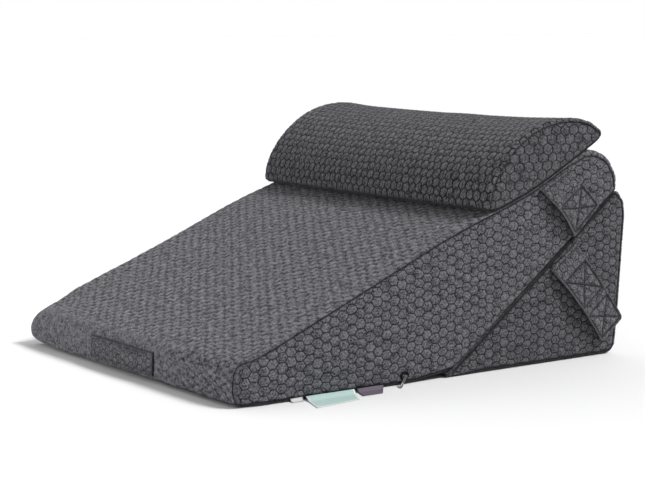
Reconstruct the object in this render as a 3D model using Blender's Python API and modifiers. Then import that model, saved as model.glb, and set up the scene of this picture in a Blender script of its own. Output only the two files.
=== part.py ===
"""Bed wedge cushion set in Blender: a long sloping foam wedge, a second wedge
tucked under its undercut back, and a half-round head pillow lying on the slope.
All three are in zipped knit covers, with side straps and a pull handle.

Axes: +X is the right side, +Y runs from the thin front edge to the tall back,
+Z is up and the floor is Z = 0. The origin is the middle of the front wedge's
flat underside. The tables are in millimetres, with Y measured from the front.
"""

import math

import bmesh
import bpy
from mathutils import Matrix, Vector
from mathutils.bvhtree import BVHTree

# Driving sizes in millimetres
MM = 0.001
HALF_WIDTH = 300.0
ORIGIN_FROM_FRONT = 155.0
LEFT_FLARE = 20.0
LEFT_FLARE_LENGTH = 250.0
EDGE_ROUNDING = 9.0
SIDE_CROWN = 5.0
CROWN_REACH = 28.0
FACE_CROWN = 2.0
PRESSED_FROM_Y = 430.0
CROWN_FADE = 90.0
SEAT_GAP = 0.35
SHEET_GAP = 0.4
FEELER = 2.0
OUTSIDE = 500.0

# Side outlines as corners: y, z, rounding radius
FRONT_WEDGE_CORNERS = (
    (0.0, 0.0, 12.0),
    (300.0, 0.0, 220.0),
    (388.6, 10.0, 5.0),
    (720.0, 262.3, 6.0),
    (725.0, 284.0, 25.0),
    (703.0, 318.0, 45.0),
    (662.0, 332.0, 40.0),
    (540.0, 267.0, 500.0),
    (387.0, 216.0, 600.0),
    (60.0, 78.0, 120.0),
    (2.0, 58.0, 24.0),
)
REAR_WEDGE_CORNERS = (
    (360.0, 4.2, 3.0),
    (392.0, 0.0, 30.0),
    (724.0, 0.0, 20.0),
    (731.0, 70.0, 150.0),
    (742.0, 222.0, 40.0),
    (739.0, 244.0, 16.0),
    (723.2, 263.1, 8.0),
    (389.4, 8.4, 8.0),
)
# Points inside each outline from which all of it is in straight view
FRONT_WEDGE_CENTRE = (430.0, 120.0)
REAR_WEDGE_CENTRE = (520.0, 22.0)

# Head pillow: its base follows the slope between two y, then runs to its tail
# tip, with a half superellipse over it
PILLOW_ON_SLOPE = (462.0, 650.0)
PILLOW_NOSE = (454.0, 240.6)
PILLOW_TAIL = (686.0, 346.5)
PILLOW_HEIGHT = 72.0
PILLOW_POWER = 1.8
PILLOW_TIP_ROUNDING = 5
PILLOW_LEFT = 317.0
PILLOW_CENTRE = (570.0, 320.0)
PILLOW_NOSE_BOW = 7.0
NOSE_BOW_END_Y = 520.0
NOSE_BOW_FADE = 65.0
PILLOW_ARC_STEPS = 40
PILLOW_BASE_STEPS = 4
PILLOW_FINE_STEP = 7.0
PILLOW_STEP = 11.0

# Stations across the width, as shares of the half width
WIDTH_STATIONS = (-0.96, -0.8, -0.5, -0.17, 0.17, 0.5, 0.8, 0.96)
ROUNDING_STEPS = 3
SIDE_RINGS = (0.88, 0.7, 0.45, 0.2)
OUTLINE_STEP = 32.0
ARC_STEP = math.radians(22.0)
CORNER_SHARE = 0.46
# A seam lies further in from wide corners than from tight ones
INSET_PER_RADIUS = 0.6
INSET_PER_DISTANCE = 0.45

# Straps on the sides: y, z of the four corners, root edge first
STRAP_THICKNESS = 3.0
STRAP_LIFT = 3.4
STRAP_DIP = 2.0
STRAP_CORNERS = {
    "upper": ((553.0, 271.0), (613.0, 301.0), (683.0, 241.0), (627.5, 191.0)),
    "lower": ((576.5, 145.5), (631.0, 184.5), (740.0, 57.0), (694.0, 27.0)),
}
STRAP_ROWS = 14
STRAP_COLUMNS = 6
STRAP_EASING = 6
UPPER_EDGE_LIFT = 0.25

# Pull handle on the front face: x range, z range
HANDLE_X = (-114.0, 78.0)
HANDLE_Z = (10.0, 46.0)
HANDLE_THICKNESS = 2.6
HANDLE_LIFT = 3.4
HANDLE_COLUMNS = 16
HANDLE_ROWS = 8

# Zip slider on the bottom seam of the right side, and its hanging puller
ZIP_Y = 293.0
SLIDER_SIZE = (3.0, 9.0, 6.5)
SLIDER_Z = 12.5
SLIDER_BEVEL = 0.7
PULLER_WIDTH = 4.6
PULLER_THICKNESS = 1.2
PULLER_BEVEL = 0.35
PULLER_STANDOFF = 1.8
PULLER_RISE = 2.0
PULLER_TIP = (319.0, 273.0, 1.4)
PULLER_HOLE = (2.2, 6.0, 5.0)
PULLER_HOLE_FROM_TOP = 4.6

# Sewn-in labels: y at the root (start, end), then x and y of the outer corners
LABEL_THICKNESS = 1.0
LABEL_ROOT_Z = 5.4
LABELS = {
    "label_teal": ((116.0, 203.0), (356.0, 97.0), (345.0, 180.0)),
    "label_grey": ((206.0, 256.0), (331.0, 195.0), (331.0, 231.0)),
    "label_white": ((90.0, 112.0), (309.0, 88.0), (309.0, 108.0)),
}
LABEL_ROOT_GAP = -0.2
LABEL_DROP = 2.2
LABEL_FLOOR_GAP = 0.02
LABEL_STEPS = 8
LABEL_COLUMNS = 4

# Colours: red, green, blue, roughness, metallic
MATERIALS = {
    "knit_cover": (0.085, 0.085, 0.092, 0.9, 0.0),
    "strap_knit": (0.075, 0.075, 0.08, 0.9, 0.0),
    "zip_metal": (0.22, 0.22, 0.23, 0.4, 1.0),
    "teal_cloth": (0.33, 0.55, 0.49, 0.75, 0.0),
    "grey_cloth": (0.16, 0.155, 0.17, 0.8, 0.0),
    "white_cloth": (0.75, 0.75, 0.75, 0.8, 0.0),
}


def clear_scene():
    for obj in list(bpy.data.objects):
        bpy.data.objects.remove(obj, do_unlink=True)


def make_collection(name):
    collection = bpy.data.collections.new(name)
    bpy.context.scene.collection.children.link(collection)
    return collection


def make_materials():
    made = {}
    for name, (red, green, blue, roughness, metallic) in MATERIALS.items():
        material = bpy.data.materials.new(name)
        material.use_nodes = True
        shader = material.node_tree.nodes["Principled BSDF"]
        shader.inputs["Base Color"].default_value = (red, green, blue, 1.0)
        shader.inputs["Roughness"].default_value = roughness
        shader.inputs["Metallic"].default_value = metallic
        made[name] = material
    return made


def place(x, y, z):
    """A point of the tables, in metres from the origin."""
    return Vector((x * MM, (y - ORIGIN_FROM_FRONT) * MM, z * MM))


def left_edge(y):
    """The left side's distance from the middle, wider at the thin front."""
    near_front = max(0.0, 1.0 - y / LEFT_FLARE_LENGTH)
    return HALF_WIDTH + LEFT_FLARE * near_front ** 1.5


def right_edge(y):
    return HALF_WIDTH


def pillow_left_edge(y):
    return PILLOW_LEFT


# Outlines

def rounded_outline(corners):
    """Corners with radii to a closed outline, counterclockwise seen from +X."""
    outline = []
    count = len(corners)
    for index, (y, z, radius) in enumerate(corners):
        before = Vector(corners[index - 1][:2])
        after = Vector(corners[(index + 1) % count][:2])
        corner = Vector((y, z))
        arriving = (corner - before).normalized()
        leaving = (after - corner).normalized()
        turn = -arriving.angle_signed(leaving)
        half = math.tan(abs(turn) / 2.0)
        room = CORNER_SHARE * min((corner - before).length, (after - corner).length)
        tangent = min(radius * half, room)
        true_radius = tangent / half
        start = corner - arriving * tangent
        inward = Vector((-arriving.y, arriving.x))
        if turn < 0.0:
            inward.negate()
        centre = start + inward * true_radius
        steps = max(1, math.ceil(abs(turn) / ARC_STEP))
        for step in range(steps + 1):
            spoke = start - centre
            spoke.rotate(Matrix.Rotation(turn * step / steps, 2))
            outline.append(centre + spoke)
    return subdivided(outline)


def subdivided(outline):
    """Splits the outline's long edges into steps of about OUTLINE_STEP."""
    points = []
    for index, point in enumerate(outline):
        following = outline[(index + 1) % len(outline)]
        pieces = max(1, round((following - point).length / OUTLINE_STEP))
        for piece in range(pieces):
            points.append(point.lerp(following, piece / pieces))
    return points


def arc_limits(outline):
    """The turning radius of the outline at each point, large where straight."""
    radii = []
    for index, point in enumerate(outline):
        arriving = point - outline[index - 1]
        leaving = outline[(index + 1) % len(outline)] - point
        turn = abs(arriving.angle_signed(leaving))
        length = 0.5 * (arriving.length + leaving.length)
        radii.append(length / max(turn, 0.001))
    return radii


def insets(outline, limit):
    """How far the cover's side seam lies in from each point of the outline."""
    radii = arc_limits(outline)
    depths = []
    for point in outline:
        reach = [
            INSET_PER_RADIUS * radius + INSET_PER_DISTANCE * (point - other).length
            for radius, other in zip(radii, outline)
        ]
        depths.append(min([limit] + reach))
    return depths


def outward_normals(outline):
    normals = []
    for index in range(len(outline)):
        along = outline[(index + 1) % len(outline)] - outline[index - 1]
        along.normalize()
        normals.append(Vector((along.y, -along.x)))
    return normals


def distance_to_outline(point, outline):
    nearest = math.inf
    for index, start in enumerate(outline):
        end = outline[(index + 1) % len(outline)]
        along = end - start
        share = (point - start).dot(along) / max(along.length_squared, 1e-9)
        share = min(1.0, max(0.0, share))
        nearest = min(nearest, (point - start - along * share).length)
    return nearest


def side_crown(distance):
    return SIDE_CROWN * (1.0 - math.exp(-distance / CROWN_REACH))


# Filled bodies

def cushion(name, outline, centre, left, right, crown_at, bow_at, material, collection):
    """A filled body: the outline drawn across the width, with rounded edges,
    and a crowned side panel at each end."""
    normals = outward_normals(outline)
    depths = insets(outline, EDGE_ROUNDING)
    middle = Vector(centre)
    bm = bmesh.new()

    def ring(points):
        return [bm.verts.new(place(x, y, max(z, 0.0))) for x, y, z in points]

    def end_rings(sign, edge):
        """The rounded edge and the side panel, from the width's end inwards."""
        rings = []
        for step in range(1, ROUNDING_STEPS + 1):
            angle = 0.5 * math.pi * step / ROUNDING_STEPS
            points = []
            for point, normal, depth in zip(outline, normals, depths):
                moved = point - normal * depth * (1.0 - math.cos(angle))
                half = edge(point.x) - EDGE_ROUNDING * (1.0 - math.sin(angle))
                points.append((sign * half, moved.x, moved.y))
            rings.append(ring(points))
        seam = [p - n * d for p, n, d in zip(outline, normals, depths)]
        for share in SIDE_RINGS:
            points = []
            for point in seam:
                moved = middle + (point - middle) * share
                bulge = side_crown(distance_to_outline(moved, seam))
                points.append((sign * (edge(moved.x) + bulge), moved.x, moved.y))
            rings.append(ring(points))
        return rings

    strip = []
    for share in WIDTH_STATIONS:
        points = []
        for point, normal in zip(outline, normals):
            edge = right(point.x) if share > 0.0 else left(point.x)
            swell = crown_at(point, normal) * (1.0 - share ** 4)
            moved = point + normal * swell
            bow = bow_at(point) * (1.0 - share ** 2)
            points.append((share * (edge - EDGE_ROUNDING), moved.x - bow, moved.y))
        strip.append(ring(points))

    right_rings = end_rings(1.0, right)
    left_rings = end_rings(-1.0, left)
    rings = left_rings[::-1] + strip + right_rings
    for first, second in zip(rings, rings[1:]):
        join_rings(bm, first, second)
    for sign, edge, last in ((1.0, right, right_rings[-1]), (-1.0, left, left_rings[-1])):
        height = edge(middle.x) + side_crown(distance_to_outline(middle, outline))
        tip = bm.verts.new(place(sign * height, middle.x, middle.y))
        fan(bm, last, tip)
    return finish_mesh(name, bm, material, collection)


def join_rings(bm, first, second):
    count = len(first)
    for index in range(count):
        after = (index + 1) % count
        bm.faces.new((first[index], first[after], second[after], second[index]))


def fan(bm, ring, tip):
    for index, vert in enumerate(ring):
        bm.faces.new((vert, ring[(index + 1) % len(ring)], tip))


def finish_mesh(name, bm, material, collection):
    bmesh.ops.recalc_face_normals(bm, faces=bm.faces)
    mesh = bpy.data.meshes.new(name)
    bm.to_mesh(mesh)
    bm.free()
    mesh.materials.append(material)
    mesh.shade_smooth()
    obj = bpy.data.objects.new(name, mesh)
    collection.objects.link(obj)
    return obj


def free_faces(point, normal):
    """Crown of the faces that nothing presses on, the open slope and the back;
    none under the head pillow, between the wedges or below."""
    facing_down = normal.y < -0.3
    if facing_down:
        return 0.0
    open_slope = min(1.0, max(0.0, (PRESSED_FROM_Y - point.x) / CROWN_FADE))
    upward = max(0.0, normal.y) * open_slope
    backward = max(0.0, normal.x)
    return FACE_CROWN * min(1.0, upward + backward)


def pillow_crown(point, normal):
    return 0.0


def no_bow(point):
    return 0.0


def nose_bow(point):
    """The head pillow's front edge bows forward at mid-width."""
    nose = min(1.0, max(0.0, (NOSE_BOW_END_Y - point.x) / NOSE_BOW_FADE))
    return PILLOW_NOSE_BOW * nose


def pillow_base(slope):
    """The base line, a seat's gap above the slope it lies on."""
    first, last = PILLOW_ON_SLOPE
    seat = []
    for point, normal in zip(slope, outward_normals(slope)):
        if first < point.x < last and normal.y > 0.5:
            seat.append(point + normal * SEAT_GAP)
    seat.sort(key=lambda point: point.x)
    return [Vector(PILLOW_NOSE)] + seat + [Vector(PILLOW_TAIL)]


def pillow_outline(slope):
    """Half superellipse over the base line, its two tips softened."""
    base = pillow_base(slope)
    start = base[0]
    end = base[-1]
    along = end - start
    half = along.length / 2.0
    along.normalize()
    upward = Vector((-along.y, along.x))
    middle = (start + end) / 2.0
    points = []
    for first, second in zip(base, base[1:]):
        for step in range(PILLOW_BASE_STEPS):
            points.append(first.lerp(second, step / PILLOW_BASE_STEPS))
    for step in range(PILLOW_ARC_STEPS):
        angle = math.pi * step / PILLOW_ARC_STEPS
        share = math.cos(angle)
        rise = (1.0 - abs(share) ** PILLOW_POWER) ** (1.0 / PILLOW_POWER)
        points.append(middle + along * half * share + upward * PILLOW_HEIGHT * rise)
    points = evenly_spaced(points, PILLOW_FINE_STEP)
    for _ in range(PILLOW_TIP_ROUNDING):
        points = [
            (points[index - 1] + point * 2.0 + points[(index + 1) % len(points)]) / 4.0
            for index, point in enumerate(points)
        ]
    return evenly_spaced(points, PILLOW_STEP)


def evenly_spaced(points, step):
    """The closed outline resampled at an even step."""
    closed = points + [points[0]]
    lengths = [0.0]
    for first, second in zip(closed, closed[1:]):
        lengths.append(lengths[-1] + (second - first).length)
    count = round(lengths[-1] / step)
    spaced = []
    segment = 0
    for index in range(count):
        target = lengths[-1] * index / count
        while lengths[segment + 1] < target:
            segment += 1
        span = max(lengths[segment + 1] - lengths[segment], 1e-9)
        share = (target - lengths[segment]) / span
        spaced.append(closed[segment].lerp(closed[segment + 1], share))
    return spaced


# Sheets laid on the filled bodies

def surface_tree(obj):
    mesh = obj.data
    points = [vert.co.copy() for vert in mesh.vertices]
    faces = [tuple(face.vertices) for face in mesh.polygons]
    return BVHTree.FromPolygons(points, faces)


def side_surface(trees, sign, y, z, least):
    """How far out the bodies' side lies around y, z, in millimetres."""
    heights = [least]
    for across, up in ((0, 0), (1, 0), (-1, 0), (0, 1), (0, -1)):
        start = place(sign * OUTSIDE, y + across * FEELER, z + up * FEELER)
        for tree in trees:
            hit = tree.ray_cast(start, Vector((-sign, 0.0, 0.0)))[0]
            if hit is not None and hit.x * sign > 0.0:
                heights.append(abs(hit.x) / MM)
    return max(heights)


def grid_object(name, rows, thickness, material, collection):
    """A sheet from rows of inner points, thickened along its outward side."""
    bm = bmesh.new()
    verts = [[bm.verts.new(place(*point)) for point in row] for row in rows]
    for upper, lower in zip(verts, verts[1:]):
        for index in range(len(upper) - 1):
            bm.faces.new((upper[index], upper[index + 1], lower[index + 1], lower[index]))
    mesh = bpy.data.meshes.new(name)
    bm.to_mesh(mesh)
    bm.free()
    mesh.materials.append(material)
    obj = bpy.data.objects.new(name, mesh)
    collection.objects.link(obj)
    thicken = obj.modifiers.new("thickness", "SOLIDIFY")
    thicken.thickness = thickness * MM
    thicken.offset = 1.0
    thicken.use_even_offset = False
    return obj


def strap(name, corners, sign, trees, material, collection):
    """A flat strap on one side: seated at its root and its end, and standing a
    little off the side along its lower edge between them."""
    root_low, root_high, end_high, end_low = (Vector(corner) for corner in corners)
    rows = []
    for row in range(STRAP_ROWS + 1):
        down = 0.5 - 0.5 * math.cos(math.pi * row / STRAP_ROWS)
        low = root_low.lerp(end_low, down)
        high = root_high.lerp(end_high, down)
        points = []
        for column in range(STRAP_COLUMNS + 1):
            across = column / STRAP_COLUMNS
            spot = low.lerp(high, across)
            seat = side_surface(trees, sign, spot.x, spot.y, HALF_WIDTH - STRAP_DIP)
            lift = STRAP_LIFT * math.sin(math.pi * down)
            lift *= 1.0 - (1.0 - UPPER_EDGE_LIFT) * across
            points.append((seat + SHEET_GAP + lift, spot.x, spot.y))
        rows.append(points)
    rows = eased(rows)
    rows = [[(sign * x, y, z) for x, y, z in row] for row in rows]
    if sign > 0.0:
        rows = [row[::-1] for row in rows]
    return grid_object(name, rows, STRAP_THICKNESS, material, collection)


def eased(rows):
    """Cloth bridges hollows: no point lies further in than the mean of the
    points before and after it along the strap."""
    for _ in range(STRAP_EASING):
        for before, row, after in zip(rows, rows[1:], rows[2:]):
            for index, (x, y, z) in enumerate(row):
                bridge = 0.5 * (before[index][0] + after[index][0])
                row[index] = (max(x, bridge), y, z)
    return rows


def handle(body_tree, material, collection):
    """The pull handle: a flat band sewn to the front face at both ends."""
    x_start, x_end = HANDLE_X
    z_low, z_high = HANDLE_Z
    rows = []
    for row in range(HANDLE_ROWS + 1):
        z = z_low + (z_high - z_low) * row / HANDLE_ROWS
        points = []
        for column in range(HANDLE_COLUMNS + 1):
            share = column / HANDLE_COLUMNS
            x = x_start + (x_end - x_start) * share
            hit = body_tree.ray_cast(place(x, -OUTSIDE, z), Vector((0.0, 1.0, 0.0)))[0]
            face = hit.y / MM + ORIGIN_FROM_FRONT
            lift = HANDLE_LIFT * math.sin(math.pi * share)
            points.append((x, face - SHEET_GAP - lift, z))
        rows.append(points)
    return grid_object("front_handle", rows, HANDLE_THICKNESS, material, collection)


def label(name, root, near, far, material, collection):
    """A sewn-in label: out of the bottom seam, down to the floor and along it."""
    root_x = HALF_WIDTH + LABEL_ROOT_GAP
    rows = []
    for step in range(LABEL_STEPS + 1):
        share = step / LABEL_STEPS
        z = LABEL_ROOT_Z * (1.0 - smooth_step(share * LABEL_DROP)) + LABEL_FLOOR_GAP
        near_x = root_x + (near[0] - root_x) * share
        near_y = root[0] + (near[1] - root[0]) * share
        far_x = root_x + (far[0] - root_x) * share
        far_y = root[1] + (far[1] - root[1]) * share
        points = []
        for column in range(LABEL_COLUMNS + 1):
            across = column / LABEL_COLUMNS
            x = near_x + (far_x - near_x) * across
            y = near_y + (far_y - near_y) * across
            points.append((x, y, z))
        rows.append(points)
    return grid_object(name, rows, LABEL_THICKNESS, material, collection)


def smooth_step(share):
    share = min(1.0, max(0.0, share))
    return share * share * (3.0 - 2.0 * share)


# Zip slider and puller

def box(name, size, centre, bevel, material, collection):
    bm = bmesh.new()
    bmesh.ops.create_cube(bm, size=1.0)
    bmesh.ops.scale(bm, vec=Vector(size) * MM, verts=bm.verts)
    obj = finish_mesh(name, bm, material, collection)
    obj.location = centre
    rounded = obj.modifiers.new("rounded edges", "BEVEL")
    rounded.width = bevel * MM
    rounded.segments = 2
    return obj


def zip_slider(body_tree, material, collection):
    depth, length, height = SLIDER_SIZE
    reach = HALF_WIDTH
    for z in (SLIDER_Z - height / 2.0, SLIDER_Z, SLIDER_Z + height / 2.0):
        for y in (ZIP_Y - length / 2.0, ZIP_Y, ZIP_Y + length / 2.0):
            reach = max(reach, side_surface([body_tree], 1.0, y, z, HALF_WIDTH))
    centre = place(reach + SEAT_GAP + depth / 2.0, ZIP_Y, SLIDER_Z)
    box("zip_slider", SLIDER_SIZE, centre, SLIDER_BEVEL, material, collection)
    return reach + SEAT_GAP + depth


def zip_puller(slider_face, material, collection, cutters):
    """A thin tab that hangs from the slider and leans out to the floor."""
    top = place(slider_face + PULLER_STANDOFF, ZIP_Y, SLIDER_Z + PULLER_RISE)
    tip = place(*PULLER_TIP)
    downward = (tip - top).normalized()
    length = (tip - top).length / MM
    size = (PULLER_WIDTH, PULLER_THICKNESS, length)
    tab = box("zip_puller", size, (top + tip) / 2.0, PULLER_BEVEL, material, collection)
    tab.rotation_mode = "QUATERNION"
    tab.rotation_quaternion = downward.to_track_quat("-Z", "Y")
    hole_x, hole_y, hole_z = PULLER_HOLE
    bpy.ops.mesh.primitive_cube_add(size=1.0)
    window = bpy.context.object
    window.name = "puller_window"
    window.scale = (hole_x * MM, hole_y * MM, hole_z * MM)
    bpy.ops.object.transform_apply(location=False, rotation=False, scale=True)
    window.location = Vector((0.0, 0.0, (length / 2.0 - PULLER_HOLE_FROM_TOP) * MM))
    window.parent = tab
    window.hide_render = True
    window.display_type = "WIRE"
    for owner in list(window.users_collection):
        owner.objects.unlink(window)
    cutters.objects.link(window)
    cut = tab.modifiers.new("window", "BOOLEAN")
    cut.operation = "DIFFERENCE"
    cut.object = window


def build():
    clear_scene()
    parts = make_collection("wedge_cushion_set")
    cutters = make_collection("cutters")
    materials = make_materials()
    knit = materials["knit_cover"]
    strap_knit = materials["strap_knit"]

    slope = rounded_outline(FRONT_WEDGE_CORNERS)
    front = cushion(
        "front_wedge", slope, FRONT_WEDGE_CENTRE,
        left_edge, right_edge, free_faces, no_bow, knit, parts,
    )
    rear = cushion(
        "rear_wedge", rounded_outline(REAR_WEDGE_CORNERS), REAR_WEDGE_CENTRE,
        right_edge, right_edge, free_faces, no_bow, knit, parts,
    )
    cushion(
        "head_pillow", pillow_outline(slope), PILLOW_CENTRE,
        pillow_left_edge, right_edge, pillow_crown, nose_bow, knit, parts,
    )

    front_tree = surface_tree(front)
    rear_tree = surface_tree(rear)
    for side, sign in (("right", 1.0), ("left", -1.0)):
        for level, corners in STRAP_CORNERS.items():
            name = f"strap_{level}_{side}"
            strap(name, corners, sign, (front_tree, rear_tree), strap_knit, parts)
    handle(front_tree, strap_knit, parts)

    slider_face = zip_slider(front_tree, materials["zip_metal"], parts)
    zip_puller(slider_face, materials["zip_metal"], parts, cutters)
    for name, (root, near, far) in LABELS.items():
        cloth = materials[name.replace("label_", "") + "_cloth"]
        label(name, root, near, far, cloth, parts)


build()
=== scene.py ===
"""Looks of the bed wedge cushion set: puffed hexagon knit covers with sewn
seams, stitched side straps, a pull handle, labels and a zip slider.

Axes as in the frame: +X right side, +Y from the thin front to the tall back,
+Z up, floor at Z = 0. Tables and lengths are in millimetres, with Y measured
from the thin front edge; place() turns them into the frame's metres.
"""

import math

import bmesh
import bpy
import numpy as np
from mathutils import Matrix, Vector, noise
from mathutils.bvhtree import BVHTree
from mathutils.geometry import delaunay_2d_cdt


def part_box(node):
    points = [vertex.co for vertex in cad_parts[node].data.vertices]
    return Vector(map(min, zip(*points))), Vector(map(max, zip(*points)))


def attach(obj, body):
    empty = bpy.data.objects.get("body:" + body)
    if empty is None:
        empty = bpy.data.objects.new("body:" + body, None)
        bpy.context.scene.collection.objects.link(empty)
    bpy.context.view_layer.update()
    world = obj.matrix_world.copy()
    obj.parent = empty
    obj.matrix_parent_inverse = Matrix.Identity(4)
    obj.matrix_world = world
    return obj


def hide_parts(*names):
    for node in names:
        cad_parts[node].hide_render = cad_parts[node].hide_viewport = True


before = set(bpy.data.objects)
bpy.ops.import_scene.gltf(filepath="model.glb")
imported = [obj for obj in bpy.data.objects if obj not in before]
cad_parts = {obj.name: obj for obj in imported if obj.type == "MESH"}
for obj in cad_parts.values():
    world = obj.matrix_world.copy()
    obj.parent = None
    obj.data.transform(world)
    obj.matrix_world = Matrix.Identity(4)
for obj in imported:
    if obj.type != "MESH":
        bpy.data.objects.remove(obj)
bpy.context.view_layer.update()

MM = 0.001
ORIGIN_FROM_FRONT = 155.0

# Widths and crowns of the covers, and how each fades
HALF_WIDTH = 300.0
LEFT_FLARE = 20.0
LEFT_FLARE_LENGTH = 250.0
LEFT_WAIST = 3.5
LEFT_WAIST_Y = (120.0, 250.0)
SIDE_CROWN = 5.0
CROWN_REACH = 28.0
FACE_CROWN = 2.0
PRESSED_FROM_Y = 430.0
CROWN_FADE = 90.0
SEAT_GAP = 0.35

# Rounded edge beside the seam: its radius, and what is added to it in places
SLOPE_ROUNDING = 4.5
HEAD_ADDS = 4.5
NOSE_ADDS = 7.5
PRESSED_ADDS = -2.3
TOE_ROUNDING = 1.0
REAR_ADDS = 4.0
REAR_PRESSED_ADDS = -2.8
PILLOW_ROUNDING = 6.0
PILLOW_UNDER_ADDS = -3.0

# Where the seam is on that edge, in degrees: 90 is on the side panel's face
SIDE_SEAM_ANGLE = 90.0
SLOPE_SEAM_ANGLE = 50.0
NOSE_SEAM_ANGLE = 4.0

# Side outlines as corners: y, z, rounding radius
FRONT_WEDGE_CORNERS = (
    (0.0, 0.0, 6.0),
    (300.0, 0.0, 220.0),
    (388.6, 10.0, 5.0),
    (720.0, 262.3, 6.0),
    (725.0, 284.0, 25.0),
    (703.0, 318.0, 45.0),
    (662.0, 332.0, 40.0),
    (540.0, 267.0, 500.0),
    (387.0, 216.0, 600.0),
    (60.0, 78.0, 120.0),
    (2.0, 58.0, 24.0),
)
REAR_WEDGE_CORNERS = (
    (360.0, 4.2, 3.0),
    (392.0, 0.0, 30.0),
    (724.0, 0.0, 20.0),
    (731.0, 70.0, 150.0),
    (742.0, 222.0, 40.0),
    (739.0, 244.0, 16.0),
    (723.2, 263.1, 8.0),
    (389.4, 8.4, 8.0),
)
CORNER_SHARE = 0.46
ARC_STEP = math.radians(5.0)
OUTLINE_STEP = 1.5

# Head pillow: base along the slope between two y, tips, and the dome over it
PILLOW_ON_SLOPE = (462.0, 650.0)
PILLOW_NOSE = (454.0, 240.6)
PILLOW_TAIL = (693.0, 350.0)
PILLOW_HEIGHT = 76.5
PILLOW_SAG = 5.0
PILLOW_POWER = 1.8
PILLOW_TIP_ROUNDING = 5
PILLOW_LEFT = 302.0
PILLOW_NOSE_BOW = 7.0
NOSE_BOW_END_Y = 520.0
NOSE_BOW_FADE = 65.0
PILLOW_ARC_STEPS = 40
PILLOW_FINE_STEP = 7.0

# Knit cells: spacing of the cells' columns and their pitch along a column
SLOPE_CELLS = (12.2, 16.9)
NOSE_PITCH = 0.72
SIDE_CELLS = (15.2, 14.2)
PILLOW_CELLS = (13.7, 15.2)
PILLOW_SIDE_CELLS = (13.4, 18.7)
STRAP_CELLS = (13.0, 14.5)
HANDLE_CELLS = (12.0, 13.0)
COLUMN = math.sqrt(3.0) / 2.0
CORNER_REACH = 1.0 / math.sqrt(3.0)
CELL_RING = 0.74
CELL_DEPTH = 1.15
CELL_POWER = 4.0
LOFT = 0.7
SIDE_LOFT = -0.5

# Seams: steps of the points along and beside them, sunk groove, its dark line of
# painted shade, the painted shade where cloth presses on cloth, puffed cloth and puckers
SEAM_STEP = 3.0
SEAM_ROWS = (1.5, 3.4)
SEAM_DEPTH = 1.1
SEAM_WIDTH = 1.5
SEAM_LINE = 1.4
PRESSED_SHADE = 0.85
NOSE_SEAM_FADE = 0.5
SEAM_PUFF = 0.7
SEAM_PUFF_AT = 5.0
SEAM_PUFF_WIDTH = 3.5
PUCKER = 0.35
PUCKER_REACH = 9.0
PUCKER_SCALE = 9.0
NOSE_SEAM_Y = (70.0, 10.0)

# Spacing of the points on the underside and along the strip's cut
HIDDEN_STEP = 17.0
CUT_STEP = 15.0
CUT_MARGIN = 4.0

# Straps on the sides: y, z of the corners, root edge first, and the sewn boxes
# as shares: start and end along the strap, low and high across it. The low edge
# stands off the cover at mid-length.
STRAP_CORNERS = {
    "upper": ((553.0, 271.0), (613.0, 301.0), (683.0, 241.0), (627.5, 191.0)),
    "lower": ((576.5, 145.5), (631.0, 184.5), (741.0, 55.0), (687.0, 20.0)),
}
STRAP_BOXES = {
    "upper": ((0.42, 0.93, 0.12, 0.93),),
    "lower": ((0.20, 0.55, 0.12, 0.93), (0.65, 0.955, 0.10, 0.93)),
}
STRAP_END_ROUNDING = 9.0
MOST_TRIM = 0.93
STRAP_SMOOTHING = 30
SHEET_STEP = 1.7
STRAP_THICKNESS = 3.0
SHEET_SETBACK = 0.35
RIM_REACH = 1.5
FAR_OUT = 500.0
RAY_SHARE = 0.985
HEM_WIDTH = 4.0
HEM_RISE = 0.7
HEM_LINE_SHADE = 0.55
STITCH_DEPTH = 1.5
STITCH_WIDTH = 1.6
STITCH_LENGTH = 2.7
STITCH_PITCH = 3.9
THREAD_RADIUS = 0.32
THREAD_STANDOFF = 0.15
THREAD_PROFILE = ((0.0, 0.35), (0.2, 0.9), (0.5, 1.0), (0.8, 0.9), (1.0, 0.35))
QUILT_RISE = 1.5
QUILT_REACH = 7.0
QUILT_SEAT = 0.9
STRAP_RELIEF = 0.45
STRAP_UNEVEN = 0.5
STRAP_UNEVEN_SCALE = 22.0
STRAP_STANDOFF = 0.8
EDGE_LIFT = 7.0
EDGE_LIFT_SHARE = 0.45
# Reach of the painted shadow along the strap's lifted low edge
LOW_EDGE_SHADOW = 3.1

# Pull handle on the front face: x range, z range
HANDLE_X = (-114.0, 78.0)
HANDLE_Z = (10.0, 46.0)
HANDLE_THICKNESS = 2.6
HANDLE_ROUNDING = 0.5
HANDLE_SMOOTHING = 20
HANDLE_HEM_RISE = 0.5
HANDLE_RELIEF = 0.6
# Reaches of the painted shadow at the band's right end and of the painted shade along its top edge
HANDLE_END_SHADOW = 2.6
HANDLE_TOP_SHADE = 1.8

# Labels: y at the root (start, end), then x and y of the outer corners, and the
# colours of the cloth and of its woven border
LABEL_ROOT_X = 299.8
LABEL_THICKNESS = 0.9
LABEL_STEP = 2.0
LABEL_RAY_SHARE = 0.98
LABEL_RAYS_FROM_Z = 60.0
LABELS = {
    "label_teal": ((116.0, 203.0), (356.0, 97.0), (345.0, 180.0)),
    "label_grey": ((206.0, 256.0), (331.0, 195.0), (331.0, 231.0)),
    "label_white": ((90.0, 112.0), (309.0, 88.0), (309.0, 108.0)),
}
LABEL_COLOURS = {
    "label_teal": ((0.57, 0.75, 0.71), (0.92, 0.95, 0.95)),
    "label_grey": ((0.165, 0.14, 0.175), (0.13, 0.11, 0.14)),
    "label_white": ((0.72, 0.72, 0.72), (0.60, 0.60, 0.62)),
}

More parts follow.
